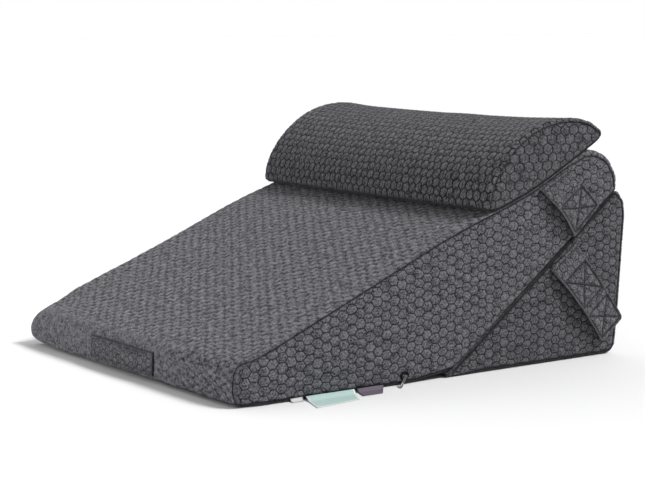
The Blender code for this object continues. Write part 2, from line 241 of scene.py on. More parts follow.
# Zip slider on the bottom seam, hanging puller
PULLER_WIDTH = 4.6
PULLER_THICKNESS = 1.2
PULLER_TIP = (319.0, 273.0, 1.4)
PULLER_WINDOW = (1.1, 2.5, 4.6)
SLIDER_PLATE = 0.9
BRIDGE_RADIUS = 0.5
# The welt's dark line and the zip's dark mouth are painted shade, drawn by the knit material
WELT_Z = 5.4
WELT_EDGE = (0.5, 1.3)
WELT_FROM_X = (-60.0, 20.0)
ZIP_FROM_X = 280.0
ZIP_MOUTH = (9.0, 7.5)

# Rounding of the two front corners, where the cover isn't full,
# as side, distance from the middle and its fade, y and its fade, pull above,
# pull below and swell at mid-height
CORNER_TUCKS = (
    (-1.0, 225.0, 85.0, 85.0, 75.0, 15.0, 19.0, 4.0),
    (1.0, 252.0, 48.0, 46.0, 46.0, 14.0, 9.0, 1.0),
)
TUCK_Z = 28.0
TUCK_TOP = 65.0

# Slow unevenness of the covers: height and scale, and the drift of the cells
UNEVEN = 0.9
UNEVEN_SCALE = 75.0
DRIFT = 2.3
DRIFT_SCALE = 27.0

# Knits: tone, stretch of the marl, where a cell's border begins and is full, how
# dark its painted groove shade is, share of that on slanted edges, marl's contrast,
# and whether the painted shade of the bottom welt and of the zip's mouth shows on it.
# The slope knit is the same cloth as the side knit: its higher tone is painted light
# and sheen of the open slope. Its level borders are darker than its slanted ones, and
# that is painted shade of the cell flanks that face away from the light.
KNITS = {
    "slope": (1.26, (2.4, 2.9), (0.31, 0.42), 0.63, 0.35, 0.13, True),
    "side": (1.0, (5.0, 5.0), (0.39, 0.475), 0.80, 1.0, 0.13, True),
    "rear": (0.81, (5.0, 5.0), (0.39, 0.475), 0.85),
    "pillow": (0.86, (3.0, 5.0), (0.36, 0.46), 0.85, 1.0, 0.10),
    "pillow_end": (0.76, (5.0, 5.0), (0.39, 0.475), 0.85),
    "strap": (1.0, (5.0, 5.0), (0.37, 0.46), 0.62),
}
KNIT_DARK = (0.020, 0.020, 0.022)
KNIT_LIGHT = (0.202, 0.198, 0.222)
# Colour of the painted shade in the cells' grooves, at seams, stitches, gaps and hollows
KNIT_GROOVE_SHADE = (0.004, 0.004, 0.005)
FAINT_SHARE = 0.8

# Camera, world, sun and softboxes: place and target in metres, size and power
CAMERA_AT = (2.3392, -1.4739, 0.5440)
CAMERA_TURN = math.radians(54.3)
CAMERA_TILT = math.radians(7.3)
CAMERA_LENS = 100.465
SENSOR_WIDTH = 36.0
WORLD_RANGE = {"From Min": 0.0, "From Max": 0.75, "To Min": 0.25, "To Max": 1.0}
SUN_FROM = (1.5, 1.4, 2.4)
SUN_STRENGTH = 2.65
SUN_SPREAD = math.radians(18.0)
SOFTBOXES = (
    ("front_softbox", (2.6, -1.8, 1.2), (0.0, 0.2, 0.1), 1.6, 6.5),
    ("low_fill", (-0.3, -1.3, 0.15), (0.0, -0.1, 0.03), 0.8, 6.0),
)


def place(x, y, z):
    """A point of the tables, in metres from the origin."""
    return Vector((x * MM, (y - ORIGIN_FROM_FRONT) * MM, z * MM))


def placed(points):
    """Rows of x, y, z in millimetres to the frame's metres."""
    return (points - np.array((0.0, ORIGIN_FROM_FRONT, 0.0))) * MM


def smooth_step(share):
    share = np.clip(share, 0.0, 1.0)
    return share * share * (3.0 - 2.0 * share)


def faded(value, none, full):
    """A smooth step from 0 at one value to 1 at the other."""
    return smooth_step((value - none) / (full - none))


def noise_at(points, scale, seed):
    """Smooth noise in -1..1 at each row of x, y, z, with features of scale."""
    shift = Vector((seed * 17.3, seed * 5.1, seed * 29.7))
    return np.array([noise.noise(Vector(point) / scale + shift) for point in points])


# Widths of the bodies to each side of the middle

def front_left(y):
    flare = LEFT_FLARE * np.maximum(0.0, 1.0 - y / LEFT_FLARE_LENGTH) ** 1.5
    return HALF_WIDTH + flare - LEFT_WAIST * faded(y, *LEFT_WAIST_Y)


def even_edge(y):
    return np.full_like(y, HALF_WIDTH)


def pillow_left(y):
    return np.full_like(y, PILLOW_LEFT)


# Outlines

def rounded_outline(corners):
    """Corners with radii to a closed outline, counterclockwise seen from +X."""
    outline = []
    count = len(corners)
    for index, (y, z, radius) in enumerate(corners):
        before = Vector(corners[index - 1][:2])
        after = Vector(corners[(index + 1) % count][:2])
        corner = Vector((y, z))
        arriving = (corner - before).normalized()
        leaving = (after - corner).normalized()
        turn = -arriving.angle_signed(leaving)
        half = math.tan(abs(turn) / 2.0)
        room = CORNER_SHARE * min((corner - before).length, (after - corner).length)
        tangent = min(radius * half, room)
        true_radius = tangent / half
        start = corner - arriving * tangent
        inward = Vector((-arriving.y, arriving.x))
        if turn < 0.0:
            inward.negate()
        centre = start + inward * true_radius
        steps = max(1, math.ceil(abs(turn) / ARC_STEP))
        for step in range(steps + 1):
            spoke = start - centre
            spoke.rotate(Matrix.Rotation(turn * step / steps, 2))
            outline.append(centre + spoke)
    return outline


def pillow_outline(slope):
    """Half superellipse over a base that follows the slope, tips softened."""
    first, last = PILLOW_ON_SLOPE
    seat = []
    for point, normal in zip(slope.points[::8], slope.normals[::8]):
        if first < point[0] < last and normal[1] > 0.5:
            seat.append(Vector(point + normal * SEAT_GAP))
    seat.sort(key=lambda point: point.x)
    start = Vector(PILLOW_NOSE)
    end = Vector(PILLOW_TAIL)
    along = end - start
    half = along.length / 2.0
    along.normalize()
    upward = Vector((-along.y, along.x))
    middle = (start + end) / 2.0
    points = [start] + seat
    for step in range(PILLOW_ARC_STEPS):
        angle = math.pi * step / PILLOW_ARC_STEPS
        share = math.cos(angle)
        rise = (1.0 - abs(share) ** PILLOW_POWER) ** (1.0 / PILLOW_POWER)
        points.append(middle + along * half * share + upward * PILLOW_HEIGHT * rise)
    points = resampled(np.array(points), PILLOW_FINE_STEP)
    for _ in range(PILLOW_TIP_ROUNDING):
        points = (np.roll(points, 1, axis=0) + points * 2.0 + np.roll(points, -1, axis=0)) / 4.0
    return points


def resampled(points, step):
    """The closed outline at an even step."""
    closed = np.vstack((points, points[:1]))
    lengths = np.concatenate(((0.0,), np.cumsum(np.linalg.norm(np.diff(closed, axis=0), axis=1))))
    targets = np.linspace(0.0, lengths[-1], round(lengths[-1] / step), endpoint=False)
    return np.column_stack([np.interp(targets, lengths, closed[:, axis]) for axis in (0, 1)])


class Outline:
    """A closed side outline with its arc length, normals and seam insets."""

    def __init__(self, corners, inset, seam_angle):
        self.points = resampled(np.array([tuple(corner) for corner in corners]), OUTLINE_STEP)
        along = np.roll(self.points, -1, axis=0) - np.roll(self.points, 1, axis=0)
        along /= np.linalg.norm(along, axis=1)[:, None]
        self.normals = np.column_stack((along[:, 1], -along[:, 0]))
        steps = np.linalg.norm(np.roll(self.points, -1, axis=0) - self.points, axis=1)
        self.lengths = np.concatenate(((0.0,), np.cumsum(steps)))
        self.total = self.lengths[-1]
        self.radius = self.round_radius(inset(self.points, self.normals))
        self.angle = seam_angle(self.points, self.normals)

    def round_radius(self, limit):
        """How far the rounded edge reaches in: less beside tight corners."""
        arriving = self.points - np.roll(self.points, 1, axis=0)
        leaving = np.roll(arriving, -1, axis=0)
        cross = arriving[:, 0] * leaving[:, 1] - arriving[:, 1] * leaving[:, 0]
        turn = np.abs(np.arcsin(np.clip(cross / OUTLINE_STEP ** 2, -1.0, 1.0)))
        turning = OUTLINE_STEP / np.maximum(turn, 0.001)
        apart = np.linalg.norm(self.points[:, None] - self.points[None], axis=2)
        reach = 0.6 * turning[None] + 0.45 * apart
        return np.minimum(limit, reach.min(axis=1))

    def at(self, station):
        """Point, normal, rounding radius and seam angle at an arc length."""
        station = np.mod(station, self.total)
        found = []
        for values in (*self.points.T, *self.normals.T, self.radius, self.angle):
            found.append(np.interp(station, self.lengths, np.append(values, values[0])))
        point = np.column_stack(found[0:2])
        normal = np.column_stack(found[2:4])
        normal /= np.linalg.norm(normal, axis=1)[:, None]
        return point, normal, found[4], found[5]


# Flat knit: sample points of hexagon cells, and their triangles

def cell_points(low, high):
    """Centre, ring and border points of unit hexagons over a rectangle."""
    corners = [(CORNER_REACH * math.cos(a), CORNER_REACH * math.sin(a))
               for a in (math.radians(60.0 * k) for k in range(6))]
    middles = [(0.5 * math.cos(a), 0.5 * math.sin(a))
               for a in (math.radians(30.0 + 60.0 * k) for k in range(6))]
    ring = [(CELL_RING * x, CELL_RING * y) for x, y in corners + middles]
    border = [corners[0], corners[3], middles[0], middles[1], middles[5]]
    pattern = np.array([(0.0, 0.0)] + ring + border)
    columns = np.arange(math.floor(low[0] / COLUMN) - 1, math.ceil(high[0] / COLUMN) + 2)
    rows = np.arange(math.floor(low[1]) - 1, math.ceil(high[1]) + 2)
    column, row = (grid.ravel() for grid in np.meshgrid(columns, rows))
    centres = np.column_stack((column * COLUMN, row + 0.5 * (column % 2)))
    return (centres[:, None] + pattern[None]).reshape(-1, 2)


def cell_distance(flat):
    """0 at a cell's middle to 0.5 on its border."""
    wide = 2.0 * COLUMN
    nearest = np.full(len(flat), 9.0)
    for shift in ((0.0, 0.0), (COLUMN, 0.5)):
        across = np.abs(np.mod(flat[:, 0] - shift[0] + COLUMN, wide) - COLUMN)
        up = np.abs(np.mod(flat[:, 1] - shift[1] + 0.5, 1.0) - 0.5)
        nearest = np.minimum(nearest, np.maximum(up, COLUMN * across + 0.5 * up))
    return np.minimum(nearest, 0.5)


def cell_relief(flat):
    """How far a puffed cell sinks towards its border, from 0 to 1."""
    return (2.0 * cell_distance(flat)) ** CELL_POWER


def triangulated(boundary, inner):
    """Triangles of a closed boundary with points inside; the boundary is first."""
    points = np.vstack((boundary, inner))
    ring = list(range(len(boundary)))
    verts, _, faces, *_ = delaunay_2d_cdt(
        [Vector(point) for point in points], [], [ring], 1, 1e-7, False
    )
    if len(verts) != len(points):
        raise ValueError(f"the flat panel lost points: {len(points)} to {len(verts)}")
    faces = np.array(faces)
    outer = faces.max(axis=1) < len(boundary)
    held = np.ones(len(faces), bool)
    held[outer] = inside(points[faces[outer]].mean(axis=1), boundary)
    return [tuple(face) for face in faces[held].tolist()]


def inside(points, polygon):
    """Which points lie inside a closed polygon."""
    start = polygon
    end = np.roll(polygon, -1, axis=0)
    held = np.zeros(len(points), bool)
    for first in range(0, len(points), 4000):
        x, y = points[first:first + 4000].T[:, :, None]
        spans = (start[:, 1] > y) != (end[:, 1] > y)
        rise = np.where(end[:, 1] == start[:, 1], 1e-12, end[:, 1] - start[:, 1])
        cross = x < (end[:, 0] - start[:, 0]) * (y - start[:, 1]) / rise + start[:, 0]
        held[first:first + 4000] = (spans & cross).sum(axis=1) % 2 == 1
    return held


def nearest_on(points, polygon, stations):
    """Distance to a closed polygon, and the station of the nearest place."""
    start = polygon
    step = np.roll(polygon, -1, axis=0) - polygon
    square = np.maximum((step ** 2).sum(axis=1), 1e-9)
    distance = np.empty(len(points))
    station = np.empty(len(points))
    spacing = stations[1] - stations[0]
    for first in range(0, len(points), 4000):
        part = points[first:first + 4000, None]
        share = np.clip(((part - start) * step).sum(axis=2) / square, 0.0, 1.0)
        gap = np.linalg.norm(part - start - step * share[:, :, None], axis=2)
        best = gap.argmin(axis=1)
        rows = np.arange(len(best))
        distance[first:first + 4000] = gap[rows, best]
        station[first:first + 4000] = stations[best] + share[rows, best] * spacing
    return distance, station


class Cushion:
    """A filled body in a knit cover: a strip drawn round the side outline, and
    a side panel at each end, met in a sewn seam."""

    def __init__(self, name, outline, left, right, hidden, crown, bow, strip_cells, side_cells,
                 turned, seed, pitch_share=None, tuck=None, faint=None):
        self.name = name
        self.outline = outline
        self.edges = {-1.0: left, 1.0: right}
        self.hidden = hidden
        self.crown = crown
        self.bow = bow
        self.strip_cells = strip_cells
        self.side_cells = side_cells
        self.turned = turned
        self.seed = seed
        self.tuck = tuck
        self.faint = faint
        count = round(outline.total / SEAM_STEP)
        self.stations = np.arange(count) * outline.total / count
        share = np.ones(len(outline.points))
        if pitch_share is not None:
            share = pitch_share(outline.points, outline.normals)
        self.rows = np.concatenate(((0.0,), np.cumsum(np.diff(outline.lengths) / share)))

    def flat_half(self, sign, station):
        """Half width up to where the rounded edge begins."""
        point, _, radius, _ = self.outline.at(station)
        return self.edges[sign](point[:, 0]) - radius

    def seam_reach(self, sign, station):
        """Distance from the middle to the seam, over the rounded edge."""
        _, _, radius, angle = self.outline.at(station)
        return self.flat_half(sign, station) + radius * angle

    def rim(self, sign, station, angle):
        """The rounded edge: place and normal at an angle from the strip's face."""
        point, normal, radius, _ = self.outline.at(station)
        moved = point - normal * (radius * (1.0 - np.cos(angle)))[:, None]
        out = self.edges[sign](moved[:, 0]) - radius * (1.0 - np.sin(angle))
        places = np.column_stack((sign * out, moved))
        across = normal * np.cos(angle)[:, None]
        return places, np.column_stack((sign * np.sin(angle), across))

    def strip_places(self, flat):
        """Places and normals of the strip's points across, station."""
        across, station = flat.T
        sign_right = across > 0.0
        point, normal, radius, _ = self.outline.at(station)
        half = np.where(sign_right, self.flat_half(1.0, station), self.flat_half(-1.0, station))
        share = np.clip(np.abs(across) / half, 0.0, 1.0)
        swell = self.crown(point, normal) * (1.0 - share ** 4)
        moved = point + normal * swell[:, None]
        moved[:, 0] -= self.bow(point) * (1.0 - share ** 2)
        places = np.column_stack((np.clip(across, -half, half), moved))
        normals = np.column_stack((np.zeros(len(flat)), normal))
        for sign, chosen in ((1.0, sign_right), (-1.0, ~sign_right)):
            beyond = chosen & (np.abs(across) > half)
            angle = (np.abs(across[beyond]) - half[beyond]) / radius[beyond]
            places[beyond], normals[beyond] = self.rim(sign, station[beyond], angle)
        return places, normals

    def cells_at(self, flat):
        """The strip's flat points in cells: across, and along the outline."""
        across, along = self.cell_scale(self.strip_cells)
        rows = np.interp(flat[:, 1], self.outline.lengths, self.rows)
        return np.column_stack((flat[:, 0] * across, rows * along))

    def flat_at(self, cells):
        across, along = self.cell_scale(self.strip_cells)
        station = np.interp(cells[:, 1] / along, self.rows, self.outline.lengths)
        return np.column_stack((cells[:, 0] / across, station))

    def strip(self):
        """The strip panel, opened at the outline's first point."""
        total = self.outline.total
        ring = np.append(self.stations, total)
        right = np.column_stack((self.seam_reach(1.0, ring), ring))
        left = np.column_stack((-self.seam_reach(-1.0, ring), ring))
        steps = round((right[0, 0] - left[0, 0]) / CUT_STEP)
        cut = np.linspace(left[0, 0], right[0, 0], steps + 1)[1:-1]
        boundary = np.vstack((
            right, np.column_stack((cut[::-1], np.full(len(cut), total))),
            left[::-1], np.column_stack((cut, np.zeros(len(cut)))),
        ))
        rows = []
        for gap in SEAM_ROWS:
            rows.append(right[1:-1] - (gap, 0.0))
            rows.append(left[1:-1] + (gap, 0.0))
        reach = right[:, 0].max()
        low, high = self.cells_at(np.array(((left[:, 0].min(), 0.0), (reach, total))))
        cells = self.flat_at(self.cell_grid(low, high))
        coarse = np.array([
            (x, s) for x in np.arange(left[:, 0].min(), reach, HIDDEN_STEP)
            for s in np.arange(0.0, total, HIDDEN_STEP)
        ])
        inner = []
        for points, wanted in ((cells, False), (coarse, True)):
            station = points[:, 1]
            clear = (station > CUT_MARGIN) & (station < total - CUT_MARGIN)
            points = points[clear]
            station = station[clear]
            point, normal, _, _ = self.outline.at(station)
            is_hidden = self.hidden(point, normal) > 0.999
            margin = SEAM_ROWS[-1] + 1.0
            within = points[:, 0] < self.seam_reach(1.0, station) - margin
            within &= points[:, 0] > margin - self.seam_reach(-1.0, station)
            inner.append(points[within & (is_hidden == wanted)])
        flat = np.vstack([boundary] + rows + inner)
        uv = self.cells_at(flat)
        faces = triangulated(uv[:len(boundary)], uv[len(boundary):])
        places, normals = self.strip_places(flat)
        reach = np.where(
            flat[:, 0] > 0.0, self.seam_reach(1.0, flat[:, 1]), self.seam_reach(-1.0, flat[:, 1])
        )
        gap = np.maximum(reach - np.abs(flat[:, 0]), 0.0)
        point, normal, _, _ = self.outline.at(flat[:, 1])
        open_share = 1.0 - self.hidden(point, normal)
        tangent = np.column_stack((np.zeros(len(flat)), -normal[:, 1], normal[:, 0]))
        level = np.tile((1.0, 0.0, 0.0), (len(flat), 1))
        return faces, places, normals, gap, open_share, (level, tangent), uv

    def cell_scale(self, cells):
        spacing, pitch = cells
        if self.turned:
            return np.array((1.0 / pitch, COLUMN / spacing))
        return np.array((COLUMN / spacing, 1.0 / pitch))

    def cell_grid(self, low, high):
        """Sample points of cells over a rectangle; turned ones run round the body."""
        if self.turned:
            return cell_points(low[::-1], high[::-1])[:, ::-1]
        return cell_points(low, high)

    def side(self, sign):
        """A side panel, laid flat over y and z, with its part of the edge."""
        point, normal, radius, angle = self.outline.at(self.stations)
        seat = point - normal * radius[:, None]
        spare = radius * (0.5 * math.pi - angle)
        boundary = seat + normal * spare[:, None]
        rows = [seat + normal * (spare - gap)[:, None] for gap in SEAM_ROWS]
        scale = self.cell_scale(self.side_cells)
        low = boundary.min(axis=0) * scale
        high = boundary.max(axis=0) * scale
        cells = self.cell_grid(low, high) / scale
        cells = cells[inside(cells, boundary)]
        distance, station = nearest_on(cells, boundary, self.stations)
        clear = distance > SEAM_ROWS[-1] + 1.0
        cells = cells[clear]
        station = station[clear]
        depth, _ = nearest_on(cells, seat, self.stations)
        depth = np.where(inside(cells, seat), depth, -depth)

        stations = np.concatenate([self.stations] * (1 + len(rows)) + [station])
        depths = np.concatenate([-spare] + [gap - spare for gap in SEAM_ROWS] + [depth])
        gaps = np.concatenate(
            [np.zeros(len(boundary))] + [np.full(len(boundary), gap) for gap in SEAM_ROWS]
            + [distance[clear]]
        )
        flat = np.vstack([boundary] + rows + [cells])
        faces = triangulated(boundary * scale, flat[len(boundary):] * scale)

        _, _, radius, _ = self.outline.at(stations)
        turn = 0.5 * math.pi + np.minimum(depths, 0.0) / radius
        places, normals = self.rim(sign, stations, turn)
        inner = depths > 0.0
        crown = SIDE_CROWN * (1.0 - np.exp(-depths[inner] / CROWN_REACH))
        out = self.edges[sign](flat[inner, 0]) + crown
        places[inner] = np.column_stack((sign * out, flat[inner]))
        normals[inner] = (sign, 0.0, 0.0)
        count = len(flat)
        level = np.tile((0.0, 1.0, 0.0), (count, 1))
        tangent = np.tile((0.0, 0.0, 1.0), (count, 1))
        if sign < 0.0:
            faces = [face[::-1] for face in faces]
        return faces, places, normals, gaps, np.ones(count), (level, tangent), flat * scale

    def relief(self, places, normals, gap, open_share, tangents, uv, loft):
        """Moves the points: cells, seam groove, puckers, slow unevenness."""
        groove = np.exp(-(gap / SEAM_WIDTH) ** 2)
        sink = CELL_DEPTH * cell_relief(uv) * open_share
        if self.faint is not None:
            sink *= 1.0 - 0.6 * self.faint(places, normals)
        puff = SEAM_PUFF * np.exp(-((gap - SEAM_PUFF_AT) / SEAM_PUFF_WIDTH) ** 2)
        pucker = PUCKER * np.exp(-gap / PUCKER_REACH) * noise_at(places, PUCKER_SCALE, 2.0)
        height = (puff + pucker) * open_share - sink
        height = height * (1.0 - groove) - SEAM_DEPTH * groove
        uneven = UNEVEN * noise_at(places, UNEVEN_SCALE, self.seed)
        height += uneven * open_share * smooth_step(gap / 30.0) + loft * open_share
        drift = DRIFT * open_share * smooth_step((gap - 3.0) / 14.0)
        moved = places + normals * height[:, None]
        for number, tangent in enumerate(tangents):
            sway = drift * noise_at(places, DRIFT_SCALE, self.seed + 3.0 + number)
            moved = moved + tangent * sway[:, None]
        if self.tuck is not None:
            moved = self.tuck(moved)
        moved[:, 2] = np.maximum(moved[:, 2], 0.0)
        return moved

    def build(self, materials):
        """The cover, from its strip and two side panels."""
        panels = [self.strip(), self.side(1.0), self.side(-1.0)]
        verts = []
        faces = []
        maps = []
        seams = []
        cloths = []
        plain = []
        for panel_faces, places, normals, gap, open_share, tangents, uv in panels:
            if self.turned:
                uv = uv[:, ::-1]
            first = sum(len(part) for part in verts)
            loft = SIDE_LOFT if verts else LOFT
            verts.append(placed(self.relief(places, normals, gap, open_share, tangents, uv, loft)))
            faces += [tuple(first + index for index in face) for face in panel_faces]
            maps.append(uv)
            cloths += [min(len(maps) - 1, 1)] * len(panel_faces)
            # The 'seam' attribute here is painted shade: a dark line in the seam's groove, and
            # darker faces where the cloth lies on the floor or presses on the other wedge
            line = np.exp(-(gap / SEAM_LINE) ** 2)
            if self.faint is not None:
                line *= 1.0 - NOSE_SEAM_FADE * faded(places[:, 1], *NOSE_SEAM_Y)
            seams.append(np.maximum(PRESSED_SHADE * (1.0 - open_share), line))
            plain.append(self.faint(places, normals) if self.faint else np.zeros(len(places)))
        return knit_mesh(
            self.name + "_cover", np.vstack(verts), faces, np.vstack(maps), materials,
            np.concatenate(seams), cloths, np.concatenate(plain),
        )


def linked(name, data):
    """A new object of the scene."""
    obj = bpy.data.objects.new(name, data)
    bpy.context.scene.collection.objects.link(obj)
    return obj


def add_attribute(mesh, name, values):
    attribute = mesh.attributes.new(name, "FLOAT", "POINT")
    attribute.data.foreach_set("value", values.astype(np.float32))


def knit_mesh(name, verts, faces, uv, materials, seam, cloths=None, faint=None):
    """A mesh with its cells' map and its 'seam' attribute, welded where its parts meet.
    On the knits that attribute is painted shade at seams, stitches, gaps and pressed
    faces; on the labels it is the woven border.
    """
    mesh = bpy.data.meshes.new(name)
    mesh.from_pydata(verts.tolist(), [], faces)
    layer = mesh.uv_layers.new(name="cells")
    corners = np.array([index for face in faces for index in face])
    layer.uv.foreach_set("vector", uv[corners].astype(np.float32).ravel())
    add_attribute(mesh, "seam", seam)
    if cloths is not None:
        mesh.polygons.foreach_set("material_index", cloths)
        add_attribute(mesh, "faint", faint)
    bm = bmesh.new()
    bm.from_mesh(mesh)
    bmesh.ops.remove_doubles(bm, verts=bm.verts, dist=0.02 * MM)
    bmesh.ops.recalc_face_normals(bm, faces=bm.faces)
    bm.to_mesh(mesh)
    bm.free()
    for material in materials:
        mesh.materials.append(material)
    mesh.shade_smooth()
    return linked(name, mesh)


# The three filled bodies

def at_nose(point, normal):
    """1 on the thin front face, 0 on the slope and below."""
    return faded(normal[:, 0], -0.2, -0.8) * faded(point[:, 0], 40.0, 20.0)


def nose_pitch(point, normal):
    """The knit lies closer on the thin front face than on the slope."""
    return 1.0 - (1.0 - NOSE_PITCH) * at_nose(point, normal)


def nose_tuck(points):
    """Rounds the front corners of the cover, fullest at mid-height."""
    x, y, z = points.T
    high = np.clip((z - TUCK_Z) / (TUCK_TOP - TUCK_Z), 0.0, 1.0) ** 1.6
    low = np.clip((TUCK_Z - z) / TUCK_Z, 0.0, 1.0) ** 2.6
    moved = points.copy()
    for sign, from_x, fade_x, to_y, fade_y, over, under, full in CORNER_TUCKS:
        near = smooth_step((sign * x - from_x) / fade_x) * smooth_step((to_y - y) / fade_y)
        pull = (over * high + under * low - full) * near
        moved += np.column_stack((-sign * pull, pull, pull * 0.0))
    return moved


def nose_faint(places, normals):
    """Where the cells hardly show: the front face, most of all its left part."""
    facing = faded(normals[:, 1], -0.2, -0.8) * faded(places[:, 1], 30.0, 10.0)
    return facing * (1.0 - 0.85 * faded(places[:, 0], 60.0, 200.0))


def front_inset(point, normal):
    """Wide rounding on the front face and round the head, tight on the slope."""
    head = faded(point[:, 0], 600.0, 660.0)
    pressed = faded(normal[:, 1], -0.3, -0.6) * faded(point[:, 0], 380.0, 410.0)
    radius = SLOPE_ROUNDING + HEAD_ADDS * head * (1.0 - pressed) + PRESSED_ADDS * pressed
    return radius + NOSE_ADDS * at_nose(point, normal)


def front_seam_angle(point, normal):
    """The seam is on top of the slope's edge, and on the front face at the nose."""
    head = faded(point[:, 0], 590.0, 670.0)
    on_slope = faded(normal[:, 1], 0.3, 0.7)
    nose = at_nose(point, normal)
    angle = SIDE_SEAM_ANGLE + (SLOPE_SEAM_ANGLE - SIDE_SEAM_ANGLE) * on_slope * (1.0 - head)
    return np.radians(angle * (1.0 - nose) + NOSE_SEAM_ANGLE * nose)


def rear_inset(point, normal):
    """Little room for a rounded edge at the thin toe."""
    pressed = faded(normal[:, 0], -0.3, -0.6)
    added = REAR_ADDS + REAR_PRESSED_ADDS * pressed
    return TOE_ROUNDING + added * faded(point[:, 0], 385.0, 445.0)


def pillow_inset(point, normal):
    return PILLOW_ROUNDING + PILLOW_UNDER_ADDS * faces_down(point, normal)


def square_seam_angle(point, normal):
    return np.full(len(point), math.radians(SIDE_SEAM_ANGLE))


def faces_down(point, normal):
    """1 on the underside."""
    return faded(normal[:, 1], -0.25, -0.6)


def rear_hidden(point, normal):
    """1 on the rear wedge's underside and where the front wedge lies on it."""
    return np.maximum(faces_down(point, normal), faded(normal[:, 0], -0.1, -0.4))


def free_faces(point, normal):
    """Crown of the open slope and the back; none where something presses."""
    open_slope = np.clip((PRESSED_FROM_Y - point[:, 0]) / CROWN_FADE, 0.0, 1.0)
    upward = np.maximum(0.0, normal[:, 1]) * open_slope
    backward = np.maximum(0.0, normal[:, 0])
    crown = FACE_CROWN * np.minimum(1.0, upward + backward)
    return np.where(normal[:, 1] < -0.3, 0.0, crown)


def ridge_sag(point, normal):
    """The head pillow's ridge lies lower at mid-width than at its ends."""
    return -PILLOW_SAG * np.maximum(0.0, normal[:, 1])


def no_bow(point):
    return np.zeros(len(point))


def nose_bow(point):
    """The head pillow's front edge bows forward at mid-width."""
    return PILLOW_NOSE_BOW * np.clip((NOSE_BOW_END_Y - point[:, 0]) / NOSE_BOW_FADE, 0.0, 1.0)


def cushions(knits):
    """The three covers; each is padded and stands for its solid."""
    slope = Outline(rounded_outline(FRONT_WEDGE_CORNERS), front_inset, front_seam_angle)
    front = Cushion(
        "front_wedge", slope, front_left, even_edge, faces_down, free_faces, no_bow,
        SLOPE_CELLS, SIDE_CELLS, False, 1.0, nose_pitch, nose_tuck, nose_faint,
    )
    back = Outline(rounded_outline(REAR_WEDGE_CORNERS), rear_inset, square_seam_angle)
    rear = Cushion(
        "rear_wedge", back, even_edge, even_edge, rear_hidden, free_faces, no_bow,
        SLOPE_CELLS, SIDE_CELLS, False, 8.0,
    )
    dome = Outline(pillow_outline(slope), pillow_inset, square_seam_angle)
    pillow = Cushion(
        "head_pillow", dome, pillow_left, even_edge, faces_down, ridge_sag, nose_bow,
        PILLOW_CELLS, PILLOW_SIDE_CELLS, True, 15.0,
    )
    for cushion, names, fill in (
        (front, ("slope", "side"), 0.9),
        (rear, ("slope", "rear"), 0.9),
        (pillow, ("pillow", "pillow_end"), 0.8),
    ):
        cover = cushion.build([knits[name] for name in names])
        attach(cover, "root")
        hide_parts(cushion.name)


# Sheets: straps, the handle and the labels

def surface_along(node, starts, direction, axis):
    """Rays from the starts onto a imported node: where they meet it on an axis."""
    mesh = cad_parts[node].data
    points = [vert.co.copy() for vert in mesh.vertices]
    tree = BVHTree.FromPolygons(points, [tuple(face.vertices) for face in mesh.polygons])
    found = []
    for start in placed(starts):
        hit = tree.ray_cast(Vector(start), Vector(direction))[0]
        if hit is None:
            hit = tree.find_nearest(Vector(start))[0]
        found.append(hit[axis] / MM)
    return np.array(found)


def drawn_in(spots, share):
    """The spots moved a little to their middle, so that each ray meets the node."""
    middle = spots.mean(axis=0)
    return middle + (spots - middle) * share


def patch_size(corners):
    """Mean length and width between root low, root high, end high and end low."""
    root_low, root_high, end_high, end_low = (np.array(corner) for corner in corners)
    length = 0.5 * (np.linalg.norm(end_low - root_low) + np.linalg.norm(end_high - root_high))
    width = 0.5 * (np.linalg.norm(root_high - root_low) + np.linalg.norm(end_high - end_low))
    return length, width


def patch_places(corners, down, over):
    """Places between the corners at shares down the length and over the width."""
    root_low, root_high, end_high, end_low = (np.array(corner) for corner in corners)
    down = down[:, None]
    over = over[:, None]
    low = root_low * (1.0 - down) + end_low * down
    high = root_high * (1.0 - down) + end_high * down
    return low * (1.0 - over) + high * over


def smoothed(values, shape, passes):
    """Evens out a grid of values, keeping its border."""
    grid = values.reshape(shape)
    for _ in range(passes):
        around = grid[:-2, 1:-1] + grid[2:, 1:-1] + grid[1:-1, :-2] + grid[1:-1, 2:]
        grid[1:-1, 1:-1] = 0.5 * grid[1:-1, 1:-1] + 0.125 * around
    return grid.ravel()


def segment_distance(flat, segments):
    """Distance from each point to the nearest of some line segments."""
    nearest = np.full(len(flat), 1e9)
    for start, end in segments:
        start = np.array(start)
        step = np.array(end) - start
        share = np.clip(((flat - start) @ step) / (step @ step), 0.0, 1.0)
        gap = np.linalg.norm(flat - start - share[:, None] * step, axis=1)
        nearest = np.minimum(nearest, gap)
    return nearest


def two_sided(name, front, back, columns, flat, seam, back_seam, material):
    """A closed sheet from two grids of places that meet along their border."""
    size = len(front)
    faces = []
    for corner in range(size - columns):
        if (corner + 1) % columns:
            quad = (corner, corner + 1, corner + columns + 1, corner + columns)
            faces.append(quad)
            faces.append(tuple(size + index for index in quad[::-1]))
    verts = placed(np.vstack((front, back)))
    seams = np.concatenate((seam, back_seam))
    return knit_mesh(name, verts, faces, np.vstack((flat, flat)), [material], seams)


def half_thickness(edge, thickness, reach):
    """Half a sheet's thickness, rounded off over its reach from the border."""
    return 0.5 * thickness * np.sqrt(1.0 - (1.0 - np.clip(edge / reach, 0.0, 1.0)) ** 2)


